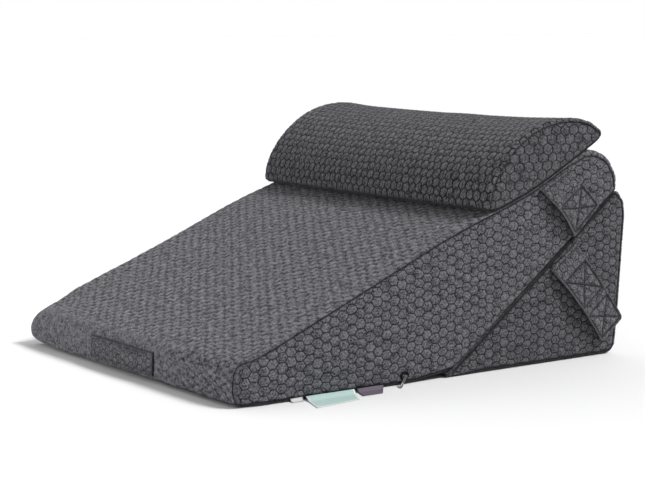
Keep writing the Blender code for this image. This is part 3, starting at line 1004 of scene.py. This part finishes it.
def strap_grid(length, width, rounding):
    """Rows of flat points along a strap, its far corners rounded."""
    rows = max(2, round(length / SHEET_STEP))
    columns = max(2, round(width / SHEET_STEP))
    along = np.linspace(0.0, length, rows + 1)
    into = np.maximum(0.0, along - (length - rounding))
    trim = rounding - np.sqrt(np.maximum(0.0, rounding ** 2 - into ** 2))
    trim = np.minimum(trim, rounding * MOST_TRIM)
    across = np.linspace(0.0, 1.0, columns + 1)[None] * (width - 2.0 * trim)[:, None]
    along = np.repeat(along[:, None], columns + 1, axis=1)
    return np.stack((along, across + trim[:, None]), axis=2)


def rim_height(grid):
    """Distance of each point of a grid to the grid's own border."""
    border = np.vstack((grid[0], grid[:, -1], grid[-1][::-1], grid[:, 0][::-1]))
    segments = list(zip(border, np.roll(border, -1, axis=0)))
    segments = [(a, b) for a, b in segments if np.linalg.norm(b - a) > 1e-6]
    return segment_distance(grid.reshape(-1, 2), segments)


def box_lines(level, length, width):
    """The lines of a strap's sewn boxes and of the crosses in them."""
    lines = []
    for start, end, low, high in STRAP_BOXES[level]:
        a = (start * length, low * width)
        b = (start * length, high * width)
        c = (end * length, high * width)
        d = (end * length, low * width)
        lines += [(a, b), (b, c), (c, d), (d, a), (a, c), (b, d)]
    return lines


def strap(level, side, sign, knit, thread):
    """A strap on one side, its low edge lifted off the cover, and its stitches."""
    node = f"strap_{level}_{side}"
    corners = STRAP_CORNERS[level]
    length, width = patch_size(corners)
    grid = strap_grid(length, width, STRAP_END_ROUNDING)
    columns = grid.shape[1]
    flat = grid.reshape(-1, 2)
    down = flat[:, 0] / length
    over = flat[:, 1] / width
    spots = patch_places(corners, down, over)
    starts = np.column_stack((np.full(len(flat), sign * FAR_OUT), drawn_in(spots, RAY_SHARE)))
    outer = sign * surface_along(node, starts, (-sign, 0.0, 0.0), 0)
    outer = smoothed(outer, grid.shape[:2], STRAP_SMOOTHING)

    lines = box_lines(level, length, width)
    edge = rim_height(grid)
    seam = segment_distance(flat, lines)
    body = half_thickness(edge, STRAP_THICKNESS, RIM_REACH)
    groove = np.exp(-(seam / STITCH_WIDTH) ** 2)
    hem = HEM_RISE * np.exp(-((edge - 0.5 * HEM_WIDTH) / (0.4 * HEM_WIDTH)) ** 2)
    quilt = QUILT_RISE * (1.0 - np.exp(-(np.minimum(seam, edge) / QUILT_REACH) ** 2))
    cells = flat * (COLUMN / STRAP_CELLS[0], 1.0 / STRAP_CELLS[1])
    relief = STRAP_RELIEF * cell_relief(cells) * smooth_step(edge / HEM_WIDTH)
    uneven = noise_at(np.column_stack((flat, np.zeros(len(flat)))), STRAP_UNEVEN_SCALE, 3.0 + sign)
    rise = smooth_step(edge / RIM_REACH)
    height = (hem + quilt - relief + STRAP_UNEVEN * uneven - STITCH_DEPTH * groove) * rise
    lift = EDGE_LIFT * np.maximum(0.0, 1.0 - over / EDGE_LIFT_SHARE) ** 2
    lift *= np.sin(math.pi * np.clip(down, 0.0, 1.0))
    centre = outer - 0.5 * STRAP_THICKNESS + STRAP_STANDOFF + lift
    front = centre + body + height - QUILT_SEAT * rise
    sides = [np.column_stack((sign * x, spots)) for x in (front, centre - body)]
    # Painted shade: darkened stitch grooves and hem line, a painted shadow along the lifted low
    # edge, and the whole underside black with painted shade
    hem_line = HEM_LINE_SHADE * np.exp(-((edge - HEM_WIDTH - 1.0) / 0.9) ** 2)
    under = np.exp(-(flat[:, 1] / LOW_EDGE_SHADOW) ** 2)
    shade = np.maximum(np.maximum(groove, hem_line), under)
    obj = two_sided(node + "_band", *sides, columns, cells, shade, np.ones(len(flat)), knit)

    def on_front(point):
        row = np.abs(grid[:, 0, 0] - point[0]).argmin()
        column = np.abs(grid[row, :, 1] - point[1]).argmin()
        x = sign * (front[row * columns + column] + THREAD_STANDOFF)
        spot = patch_places(corners, point[:1] / length, point[1:] / width)[0]
        return placed(np.array((x, *spot)))

    sewing = stitches(node + "_stitching", lines, on_front, thread)
    for piece in (obj, sewing):
        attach(piece, "root")
    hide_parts(node)


def stitches(name, lines, on_surface, material):
    """Thread along the lines: a short rounded run for each stitch."""
    bm = bmesh.new()
    for start, end in lines:
        start = np.array(start)
        end = np.array(end)
        span = np.linalg.norm(end - start)
        count = max(1, int(span / STITCH_PITCH))
        along = (end - start) / span
        for index in range(count):
            first = start + along * (index + 0.15) * span / count
            last = first + along * STITCH_LENGTH
            add_thread(bm, Vector(on_surface(first)), Vector(on_surface(last)))
    return finish_mesh(name, bm, material)


def add_thread(bm, start, end):
    """A thread run: a tube that dips into the cloth at both ends."""
    along = (end - start).normalized()
    across = along.orthogonal().normalized()
    other = along.cross(across)
    rings = []
    for share, size in THREAD_PROFILE:
        centre = start.lerp(end, share)
        ring = []
        for corner in range(6):
            angle = math.pi * corner / 3.0
            spoke = across * math.cos(angle) + other * math.sin(angle)
            ring.append(centre + spoke * THREAD_RADIUS * size * MM)
        rings.append(ring)
    add_rings(bm, rings, False)


def finish_mesh(name, bm, material):
    bmesh.ops.recalc_face_normals(bm, faces=bm.faces)
    mesh = bpy.data.meshes.new(name)
    bm.to_mesh(mesh)
    bm.free()
    mesh.materials.append(material)
    mesh.shade_smooth()
    return linked(name, mesh)


def handle(knit):
    """The pull handle: a flat band sewn to the front face at both ends."""
    length = HANDLE_X[1] - HANDLE_X[0]
    width = HANDLE_Z[1] - HANDLE_Z[0]
    grid = strap_grid(length, width, HANDLE_ROUNDING)
    flat = grid.reshape(-1, 2)
    spots = flat + (HANDLE_X[0], HANDLE_Z[0])
    x, z = drawn_in(spots, RAY_SHARE).T
    starts = np.column_stack((x, np.full(len(flat), -FAR_OUT), z))
    face = surface_along("front_handle", starts, (0.0, 1.0, 0.0), 1) + ORIGIN_FROM_FRONT
    face = smoothed(face, grid.shape[:2], HANDLE_SMOOTHING)
    edge = rim_height(grid)
    body = half_thickness(edge, HANDLE_THICKNESS, 0.5 * HANDLE_THICKNESS)
    cells = flat * (COLUMN / HANDLE_CELLS[0], 1.0 / HANDLE_CELLS[1])
    across = np.minimum(flat[:, 1], width - flat[:, 1])
    hem = HANDLE_HEM_RISE * np.exp(-((across - 2.2) / 1.6) ** 2)
    line = np.exp(-((across - 4.6) / 0.9) ** 2)
    height = hem - HANDLE_RELIEF * (cell_relief(cells) + line)
    height *= smooth_step(edge / RIM_REACH)
    centre = face + 0.5 * HANDLE_THICKNESS + SHEET_SETBACK
    sides = [
        np.column_stack((spots[:, 0], y, spots[:, 1]))
        for y in (centre - body - height, centre + body)
    ]
    # Painted shade: the sunk stitch lines, a painted shadow at the band's right end where it
    # stands off the face, and the band's top edge
    end_shadow = np.exp(-((length - flat[:, 0]) / HANDLE_END_SHADOW) ** 2)
    top_shade = 0.9 * np.exp(-((width - flat[:, 1]) / HANDLE_TOP_SHADE) ** 2)
    shade = np.maximum(np.maximum(0.6 * line, end_shadow), top_shade)
    obj = two_sided("front_handle_band", *sides, grid.shape[1], cells, shade, shade, knit)
    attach(obj, "root")
    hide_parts("front_handle")


def label(name, cloth):
    """A sewn-in label: out of the bottom seam and along the floor."""
    root, near, far = LABELS[name]
    corners = ((LABEL_ROOT_X, root[0]), (LABEL_ROOT_X, root[1]), far, near)
    length, width = patch_size(corners)
    rows = max(3, round(length / LABEL_STEP)) + 1
    columns = max(3, round(width / LABEL_STEP)) + 1
    down = np.repeat(np.linspace(0.0, 1.0, rows), columns)
    over = np.tile(np.linspace(0.0, 1.0, columns), rows)
    spots = patch_places(corners, down, over)
    above = np.full(len(spots), LABEL_RAYS_FROM_Z)
    starts = np.column_stack((drawn_in(spots, LABEL_RAY_SHARE), above))
    top = surface_along(name, starts, (0.0, 0.0, -1.0), 2)
    flat = np.column_stack((down * length, over * width))
    edge = rim_height(flat.reshape(rows, columns, 2))
    body = 0.5 * LABEL_THICKNESS * smooth_step(edge / 0.8 + 0.15 * (edge > 0.0))
    lift = 0.5 * np.maximum(0.0, noise_at(np.column_stack((flat, top * 0.0)), 16.0, 5.0))
    centre = np.maximum(top - 0.55 * LABEL_THICKNESS, 0.5 * LABEL_THICKNESS + 0.05) + lift
    sides = [np.column_stack((spots, z)) for z in (centre + body, centre - body)]
    free = np.minimum(length - flat[:, 0], np.minimum(flat[:, 1], width - flat[:, 1]))
    border = np.exp(-((free - LABEL_STEP) / 1.2) ** 2)
    obj = two_sided(name + "_tag", *sides, columns, flat, border, border, cloth)
    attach(obj, "root")
    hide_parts(name)


# Zip slider and puller

def superellipse(half_width, half_height, power, count):
    points = []
    for step in range(count):
        angle = math.tau * step / count
        c, s = math.cos(angle), math.sin(angle)
        points.append((
            half_width * math.copysign(abs(c) ** (2.0 / power), c),
            half_height * math.copysign(abs(s) ** (2.0 / power), s),
        ))
    return points


def add_rings(bm, rings, closed):
    """Faces between rings of places; the ends are filled unless closed."""
    rows = [[bm.verts.new(point) for point in ring] for ring in rings]
    count = len(rows[0])
    following = rows[1:] + rows[:1] if closed else rows[1:]
    for first, second in zip(rows, following):
        for index in range(count):
            after = (index + 1) % count
            bm.faces.new((first[index], first[after], second[after], second[index]))
    if not closed:
        bm.faces.new(rows[0][::-1])
        bm.faces.new(rows[-1])


def plate_ring(outline, size, level, origin, axes):
    """An outline, drawn in by size, at a level over a plane."""
    across, along, up = axes
    ring = []
    for u, v in outline:
        length = math.hypot(u, v)
        shrink = 1.0 - size / length
        ring.append(origin + (across * u * shrink + along * v * shrink + up * level) * MM)
    return ring


def add_plate(bm, outline, low, high, origin, axes, bevel=0.25):
    levels = ((bevel, low), (0.0, low + bevel), (0.0, high - bevel), (bevel, high))
    add_rings(bm, [plate_ring(outline, size, at, origin, axes) for size, at in levels], False)


def zip_slider(metal):
    """Two shield plates on a core, with a bridge that carries the puller."""
    low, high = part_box("zip_slider")
    depth, length, height = (high - low) / MM
    origin = Vector((low.x, 0.5 * (low.y + high.y), 0.5 * (low.z + high.z)))
    axes = (Vector((0.0, 1.0, 0.0)), Vector((0.0, 0.0, 1.0)), Vector((1.0, 0.0, 0.0)))
    shield = superellipse(0.5 * length, 0.5 * height, 2.7, 28)
    shield = [(u, v * (1.0 - 0.16 * (u / length + 0.5))) for u, v in shield]
    core = [(0.55 * u, 0.5 * v) for u, v in shield]
    bm = bmesh.new()
    add_plate(bm, shield, 0.0, SLIDER_PLATE, origin, axes)
    add_plate(bm, core, SLIDER_PLATE - 0.1, depth - SLIDER_PLATE + 0.1, origin, axes, 0.05)
    add_plate(bm, shield, depth - SLIDER_PLATE, depth, origin, axes)
    rings = []
    for step in range(13):
        angle = math.pi * step / 12
        outward = Vector((math.sin(angle), math.cos(angle), 0.0))
        centre = Vector((depth - 0.2 + 2.1 * outward.x, 2.3 * outward.y, 2.0)) * MM + origin
        ring = []
        for corner in range(10):
            turn = math.tau * corner / 10
            spoke = outward * math.cos(turn) * 0.6 + Vector((0.0, 0.0, math.sin(turn)))
            ring.append(centre + spoke * BRIDGE_RADIUS * MM)
        rings.append(ring)
    add_rings(bm, rings, False)
    return finish_mesh("zip_slider_body", bm, metal)


def zip_puller(metal):
    """A thin tab with a window, hung from the slider's bridge to the floor."""
    low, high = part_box("zip_slider")
    top = Vector((high.x + 1.6 * MM, 0.5 * (low.y + high.y), 0.5 * (low.z + high.z) + 2.6 * MM))
    tip = place(*PULLER_TIP)
    along = (tip - top).normalized()
    across = along.cross(Vector((1.0, 0.0, 0.0))).normalized()
    axes = (across, along, across.cross(along))
    length = (tip - top).length / MM
    middle = (top + tip) / 2.0
    half = 0.5 * length
    outer = superellipse(0.5 * PULLER_WIDTH, half, 5.0, 40)
    outer = [(u * (0.86 + 0.14 * v / half), v) for u, v in outer]
    wide, tall, from_top = PULLER_WINDOW
    window = [(u, v - half + from_top) for u, v in superellipse(wide, tall, 3.0, 40)]
    bm = bmesh.new()
    thick = 0.5 * PULLER_THICKNESS
    levels = [(outer, 0.3, -thick), (outer, 0.0, 0.3 - thick)]
    levels += [(outer, 0.0, thick - 0.3), (outer, 0.3, thick)]
    levels += [(window, 0.0, thick), (window, 0.0, -thick)]
    add_rings(bm, [plate_ring(*level, middle, axes) for level in levels], True)
    grip = [(0.6 * u, 0.26 * v) for u, v in outer]
    grip_at = middle + along * 0.30 * half * MM
    add_plate(bm, grip, thick - 0.1, thick + 0.25, grip_at, axes, 0.15)
    return finish_mesh("zip_puller_tab", bm, metal)


# Materials

class Nodes:
    """Adds shader nodes to a material, each with its inputs by name or place."""

    def __init__(self, name):
        self.material = bpy.data.materials.new(name)
        self.material.use_nodes = True
        self.tree = self.material.node_tree
        self.shader = self.tree.nodes["Principled BSDF"]

    def add(self, kind, inputs=(), **settings):
        node = self.tree.nodes.new(kind)
        for key, value in settings.items():
            setattr(node, key, value)
        for key, value in dict(inputs).items():
            self.put(node.inputs[key], value)
        return node

    def put(self, socket, value):
        if isinstance(value, bpy.types.NodeSocket):
            self.tree.links.new(value, socket)
        else:
            socket.default_value = value

    def shade(self, values):
        """Puts values on the shader's own sockets."""
        for key, value in values.items():
            self.put(self.shader.inputs[key], value)

    def bump(self, height, strength, distance):
        inputs = {"Height": height, "Strength": strength, "Distance": distance}
        self.shade({"Normal": self.add("ShaderNodeBump", inputs).outputs["Normal"]})

    def place(self):
        return self.add("ShaderNodeTexCoord").outputs["Object"]

    def cells(self):
        return self.add("ShaderNodeUVMap", uv_map="cells").outputs["UV"]

    def attribute(self, name):
        return self.add("ShaderNodeAttribute", attribute_name=name).outputs["Fac"]

    def math(self, operation, first, second=0.0, third=0.0):
        node = self.add("ShaderNodeMath", {0: first, 1: second, 2: third}, operation=operation)
        return node.outputs[0]

    def remap(self, value, start, end, smooth=True):
        """Takes the value from the range of start to that of end."""
        kind = "SMOOTHSTEP" if smooth else "LINEAR"
        inputs = {"Value": value, "From Min": start[0], "From Max": start[1]}
        inputs |= {"To Min": end[0], "To Max": end[1]}
        return self.add("ShaderNodeMapRange", inputs, interpolation_type=kind).outputs["Result"]

    def mix(self, factor, first, second):
        node = self.add("ShaderNodeMix", {0: factor, 6: first, 7: second}, data_type="RGBA")
        return node.outputs[2]

    def noise(self, vector, scale, detail=2.0, roughness=0.5):
        inputs = {"Vector": vector, "Scale": scale, "Detail": detail, "Roughness": roughness}
        return self.add("ShaderNodeTexNoise", inputs).outputs["Fac"]

    def wave(self, vector, scale, distortion, detail, direction):
        inputs = {"Vector": vector, "Scale": scale, "Distortion": distortion, "Detail": detail}
        return self.add("ShaderNodeTexWave", inputs, bands_direction=direction).outputs["Fac"]

    def scaled(self, vector, scale):
        return self.add("ShaderNodeMapping", {"Vector": vector, "Scale": scale}).outputs["Vector"]

    def split(self, vector):
        return self.add("ShaderNodeSeparateXYZ", {0: vector}).outputs

    def cell_border(self, across, up, reach, slanted_share):
        """1 on a cell's border, slanted_share on its slanted edges, 0 inside."""
        wide = 2.0 * COLUMN
        found = []
        for shift_across, shift_up in ((0.0, 0.0), (COLUMN, 0.5)):
            x = self.math("FLOORED_MODULO", self.math("ADD", across, COLUMN - shift_across), wide)
            x = self.math("ABSOLUTE", self.math("SUBTRACT", x, COLUMN))
            y = self.math("FLOORED_MODULO", self.math("ADD", up, 0.5 - shift_up), 1.0)
            y = self.math("ABSOLUTE", self.math("SUBTRACT", y, 0.5))
            slanted = self.math("MULTIPLY_ADD", x, COLUMN, self.math("MULTIPLY", y, 0.5))
            level = self.remap(y, reach, (0.0, 1.0))
            side = self.remap(slanted, (reach[0] + 0.03, reach[1]), (0.0, slanted_share))
            found.append((self.math("MAXIMUM", y, slanted), self.math("MAXIMUM", level, side)))
        nearer = self.math("LESS_THAN", found[0][0], found[1][0])
        both = self.add("ShaderNodeMix", {0: nearer, 2: found[1][1], 3: found[0][1]})
        return both.outputs[0]


def opaque(colour, strength=1.0):
    return tuple(min(1.0, strength * part) for part in colour) + (1.0,)


def low_seam_shade(nodes, place_at):
    """Painted shade: a dark line along the welt near the floor, up to the zip, for the shade of
    its crease, and the zip's dark mouth, for the shade in the cover's opening.
    """
    low, high = (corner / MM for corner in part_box("zip_slider"))
    zip_y, zip_z = 0.5 * (low.y + high.y), 0.5 * (low.z + high.z)
    split = nodes.split(nodes.scaled(place_at, (1.0 / MM,) * 3))
    x, y, z = (split[axis] for axis in "XYZ")
    off_welt = nodes.math("ABSOLUTE", nodes.math("SUBTRACT", z, WELT_Z))
    line = nodes.remap(off_welt, WELT_EDGE, (1.0, 0.0))
    line = nodes.math("MULTIPLY", line, nodes.remap(y, (zip_y - 6.0, zip_y), (1.0, 0.0)))
    line = nodes.math("MULTIPLY", line, nodes.remap(x, WELT_FROM_X, (0.0, 0.9)))
    aside = nodes.math("DIVIDE", nodes.math("SUBTRACT", y, zip_y + 1.0), ZIP_MOUTH[0])
    above = nodes.math("DIVIDE", nodes.math("SUBTRACT", z, zip_z + 1.0), ZIP_MOUTH[1])
    around = nodes.math("MULTIPLY", aside, aside)
    around = nodes.math("MULTIPLY_ADD", above, above, around)
    on_right = nodes.math("GREATER_THAN", x, ZIP_FROM_X)
    mouth = nodes.math("MULTIPLY", nodes.remap(around, (0.75, 1.15), (1.0, 0.0)), on_right)
    return nodes.math("MAXIMUM", line, mouth)


def knit_material(name, tone, marl_scale, border_at, depth, slanted=1.0, contrast=0.13,
                  shaded_low=False):
    """Marled hexagon knit: borders darkened with painted groove shade, flecked puffed cells,
    stitch rows.
    """
    nodes = Nodes(name)
    cells = nodes.cells()
    split = nodes.split(cells)
    place_at = nodes.place()
    wander = nodes.math("SUBTRACT", nodes.noise(place_at, 130.0, 1.0), 0.5)
    across = nodes.math("MULTIPLY_ADD", wander, 0.14, split["X"])
    up = nodes.math("MULTIPLY_ADD", wander, -0.12, split["Y"])
    # The cells' dark borders are painted shade in the grooves between the puffed cells; the 'seam'
    # attribute adds painted shade at seams, stitches, gaps and pressed faces
    border = nodes.cell_border(across, up, border_at, slanted)
    faint = nodes.attribute("faint")
    shown = nodes.math("MULTIPLY_ADD", faint, -FAINT_SHARE * depth, depth)
    border = nodes.math("MULTIPLY", border, shown)
    border = nodes.math("MAXIMUM", border, nodes.attribute("seam"))
    if shaded_low:
        border = nodes.math("MAXIMUM", border, low_seam_shade(nodes, place_at))

    marl = nodes.noise(nodes.scaled(cells, (*marl_scale, 1.0)), 1.0, 2.0, 0.6)
    fleck = nodes.noise(place_at, 420.0, 2.0, 0.6)
    by_cell = nodes.noise(cells, 1.1, 1.0)
    heather = nodes.math("MULTIPLY_ADD", fleck, 0.45, nodes.math("MULTIPLY", marl, 0.55))
    heather = nodes.remap(heather, (0.5 - contrast, 0.5 + contrast), (0.0, 1.0), smooth=False)
    heather = nodes.math("MULTIPLY_ADD", nodes.math("SUBTRACT", by_cell, 0.5), 0.9, heather)
    strong = nodes.math("MULTIPLY_ADD", faint, -0.1, 1.0)
    heather = nodes.math("MULTIPLY_ADD", nodes.math("SUBTRACT", heather, 0.5), strong, 0.5)
    # The tone scales the yarn colours; the slope knit's higher tone is painted light
    colour = nodes.mix(heather, opaque(KNIT_DARK, tone), opaque(KNIT_LIGHT, tone))
    nodes.shade({
        "Base Color": nodes.mix(border, colour, opaque(KNIT_GROOVE_SHADE)),
        "Roughness": 0.95,
        "Specular IOR Level": 0.06,
        "Sheen Weight": 0.12,
        "Sheen Roughness": 0.5,
    })
    stitch_rows = nodes.wave(nodes.scaled(cells, (6.0, 6.0, 1.0)), 1.0, 1.2, 1.0, "Y")
    ground = nodes.math("MULTIPLY_ADD", stitch_rows, 0.35, fleck)
    ground = nodes.math("SUBTRACT", ground, nodes.math("MULTIPLY", border, 1.2))
    nodes.bump(ground, 0.6, 0.0006)
    return nodes.material


def cloth_material(name, colour, border_colour):
    """Plain woven label cloth with fine ribs and a woven border line."""
    nodes = Nodes(name)
    flat = nodes.cells()
    ribs = nodes.wave(flat, 1.6, 0.6, 2.0, "X")
    weave = nodes.math("MULTIPLY", ribs, nodes.wave(flat, 2.2, 0.6, 2.0, "Y"))
    cloudy = nodes.noise(flat, 0.5, 3.0)
    tone = nodes.math("MULTIPLY_ADD", cloudy, 0.5, nodes.math("MULTIPLY", weave, 0.5))
    ground = nodes.mix(tone, opaque(colour, 0.85), opaque(colour, 1.12))
    nodes.shade({
        "Base Color": nodes.mix(nodes.attribute("seam"), ground, opaque(border_colour)),
        "Roughness": 0.6,
        "Specular IOR Level": 0.3,
    })
    nodes.bump(weave, 0.5, 0.0002)
    return nodes.material


def thread_material(name, colour):
    """Dark sewing thread, twisted."""
    nodes = Nodes(name)
    twist = nodes.noise(nodes.place(), 2200.0, 1.0)
    nodes.shade({
        "Base Color": nodes.mix(twist, opaque(colour), opaque(colour, 1.5)),
        "Roughness": 0.7,
    })
    nodes.bump(twist, 0.6, 0.0002)
    return nodes.material


def metal_material(name, colour, roughness):
    """Die-cast metal: worn lighter in patches, with fine scratches."""
    nodes = Nodes(name)
    place_at = nodes.place()
    worn = nodes.remap(nodes.noise(place_at, 900.0, 3.0, 0.6), (0.45, 0.7), (0.0, 0.6))
    scratch = nodes.noise(nodes.scaled(place_at, (3000.0, 3000.0, 300.0)), 1.0, 2.0)
    around = (roughness - 0.08, roughness + 0.12)
    nodes.shade({
        "Base Color": nodes.mix(worn, opaque(colour), opaque(colour, 1.5)),
        "Metallic": 1.0,
        "Roughness": nodes.remap(scratch, (0.3, 0.7), around),
    })
    nodes.bump(scratch, 0.4, 0.0001)
    return nodes.material


# Stage, light and camera

def add_camera():
    data = bpy.data.cameras.new("camera")
    data.lens = CAMERA_LENS
    data.sensor_width = SENSOR_WIDTH
    camera = linked("camera", data)
    back = Vector((
        math.sin(CAMERA_TURN) * math.cos(CAMERA_TILT),
        -math.cos(CAMERA_TURN) * math.cos(CAMERA_TILT),
        math.sin(CAMERA_TILT),
    ))
    camera.location = CAMERA_AT
    camera.rotation_euler = back.to_track_quat("Z", "Y").to_euler()
    bpy.context.scene.camera = camera


def add_light(name, kind, location, target, energy):
    data = bpy.data.lights.new(name, kind)
    data.energy = energy
    light = linked(name, data)
    light.location = location
    back = Vector(location) - Vector(target)
    light.rotation_euler = back.to_track_quat("Z", "Y").to_euler()
    return data


def add_lights():
    """A broad sun, so that the floor is white out to the horizon, and two
    softboxes for the front face and what is near the floor."""
    sun = add_light("key", "SUN", SUN_FROM, (0.0, 0.0, 0.0), SUN_STRENGTH)
    sun.angle = SUN_SPREAD
    for name, location, target, size, power in SOFTBOXES:
        box = add_light(name, "AREA", location, target, power)
        box.shape = "DISK"
        box.size = size


def add_stage():
    nodes = Nodes("stage_white")
    nodes.shade({"Base Color": (0.93, 0.93, 0.93, 1.0), "Roughness": 0.9})
    bpy.ops.mesh.primitive_plane_add(size=60.0, location=(0.0, 0.0, 0.0))
    floor = bpy.context.object
    floor.name = "stage_floor"
    floor.data.materials.append(nodes.material)


def add_world():
    """A studio that is white behind the set and dim in front of it."""
    world = bpy.data.worlds.new("studio")
    world.use_nodes = True
    tree = world.node_tree
    background = tree.nodes["Background"]
    background.inputs["Color"].default_value = (1.0, 1.0, 1.0, 1.0)
    place_at = tree.nodes.new("ShaderNodeTexCoord")
    facing = tree.nodes.new("ShaderNodeVectorMath")
    facing.operation = "DOT_PRODUCT"
    facing.inputs[1].default_value = (-math.sin(CAMERA_TURN), math.cos(CAMERA_TURN), 0.0)
    tree.links.new(place_at.outputs["Generated"], facing.inputs[0])
    white = tree.nodes.new("ShaderNodeMapRange")
    white.interpolation_type = "SMOOTHSTEP"
    for name, value in WORLD_RANGE.items():
        white.inputs[name].default_value = value
    tree.links.new(facing.outputs["Value"], white.inputs["Value"])
    tree.links.new(white.outputs["Result"], background.inputs["Strength"])
    bpy.context.scene.world = world


add_camera()
knits = {name: knit_material("knit_" + name, *values) for name, values in KNITS.items()}
thread = thread_material("sewing_thread", (0.03, 0.03, 0.032))
cushions(knits)
for level in STRAP_CORNERS:
    strap(level, "right", 1.0, knits["strap"], thread)
    strap(level, "left", -1.0, knits["strap"], thread)
handle(knits["strap"])
for label_name, (colour, border_colour) in LABEL_COLOURS.items():
    cloth_name = label_name.replace("label_", "") + "_cloth"
    label(label_name, cloth_material(cloth_name, colour, border_colour))
slider = zip_slider(metal_material("slider_metal", (0.10, 0.10, 0.105), 0.45))
puller = zip_puller(metal_material("puller_metal", (0.24, 0.235, 0.245), 0.35))
for piece, node in ((slider, "zip_slider"), (puller, "zip_puller")):
    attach(piece, "root")
    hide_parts(node)
add_stage()
add_world()
add_lights()
bpy.context.scene.view_settings.view_transform = "Standard"
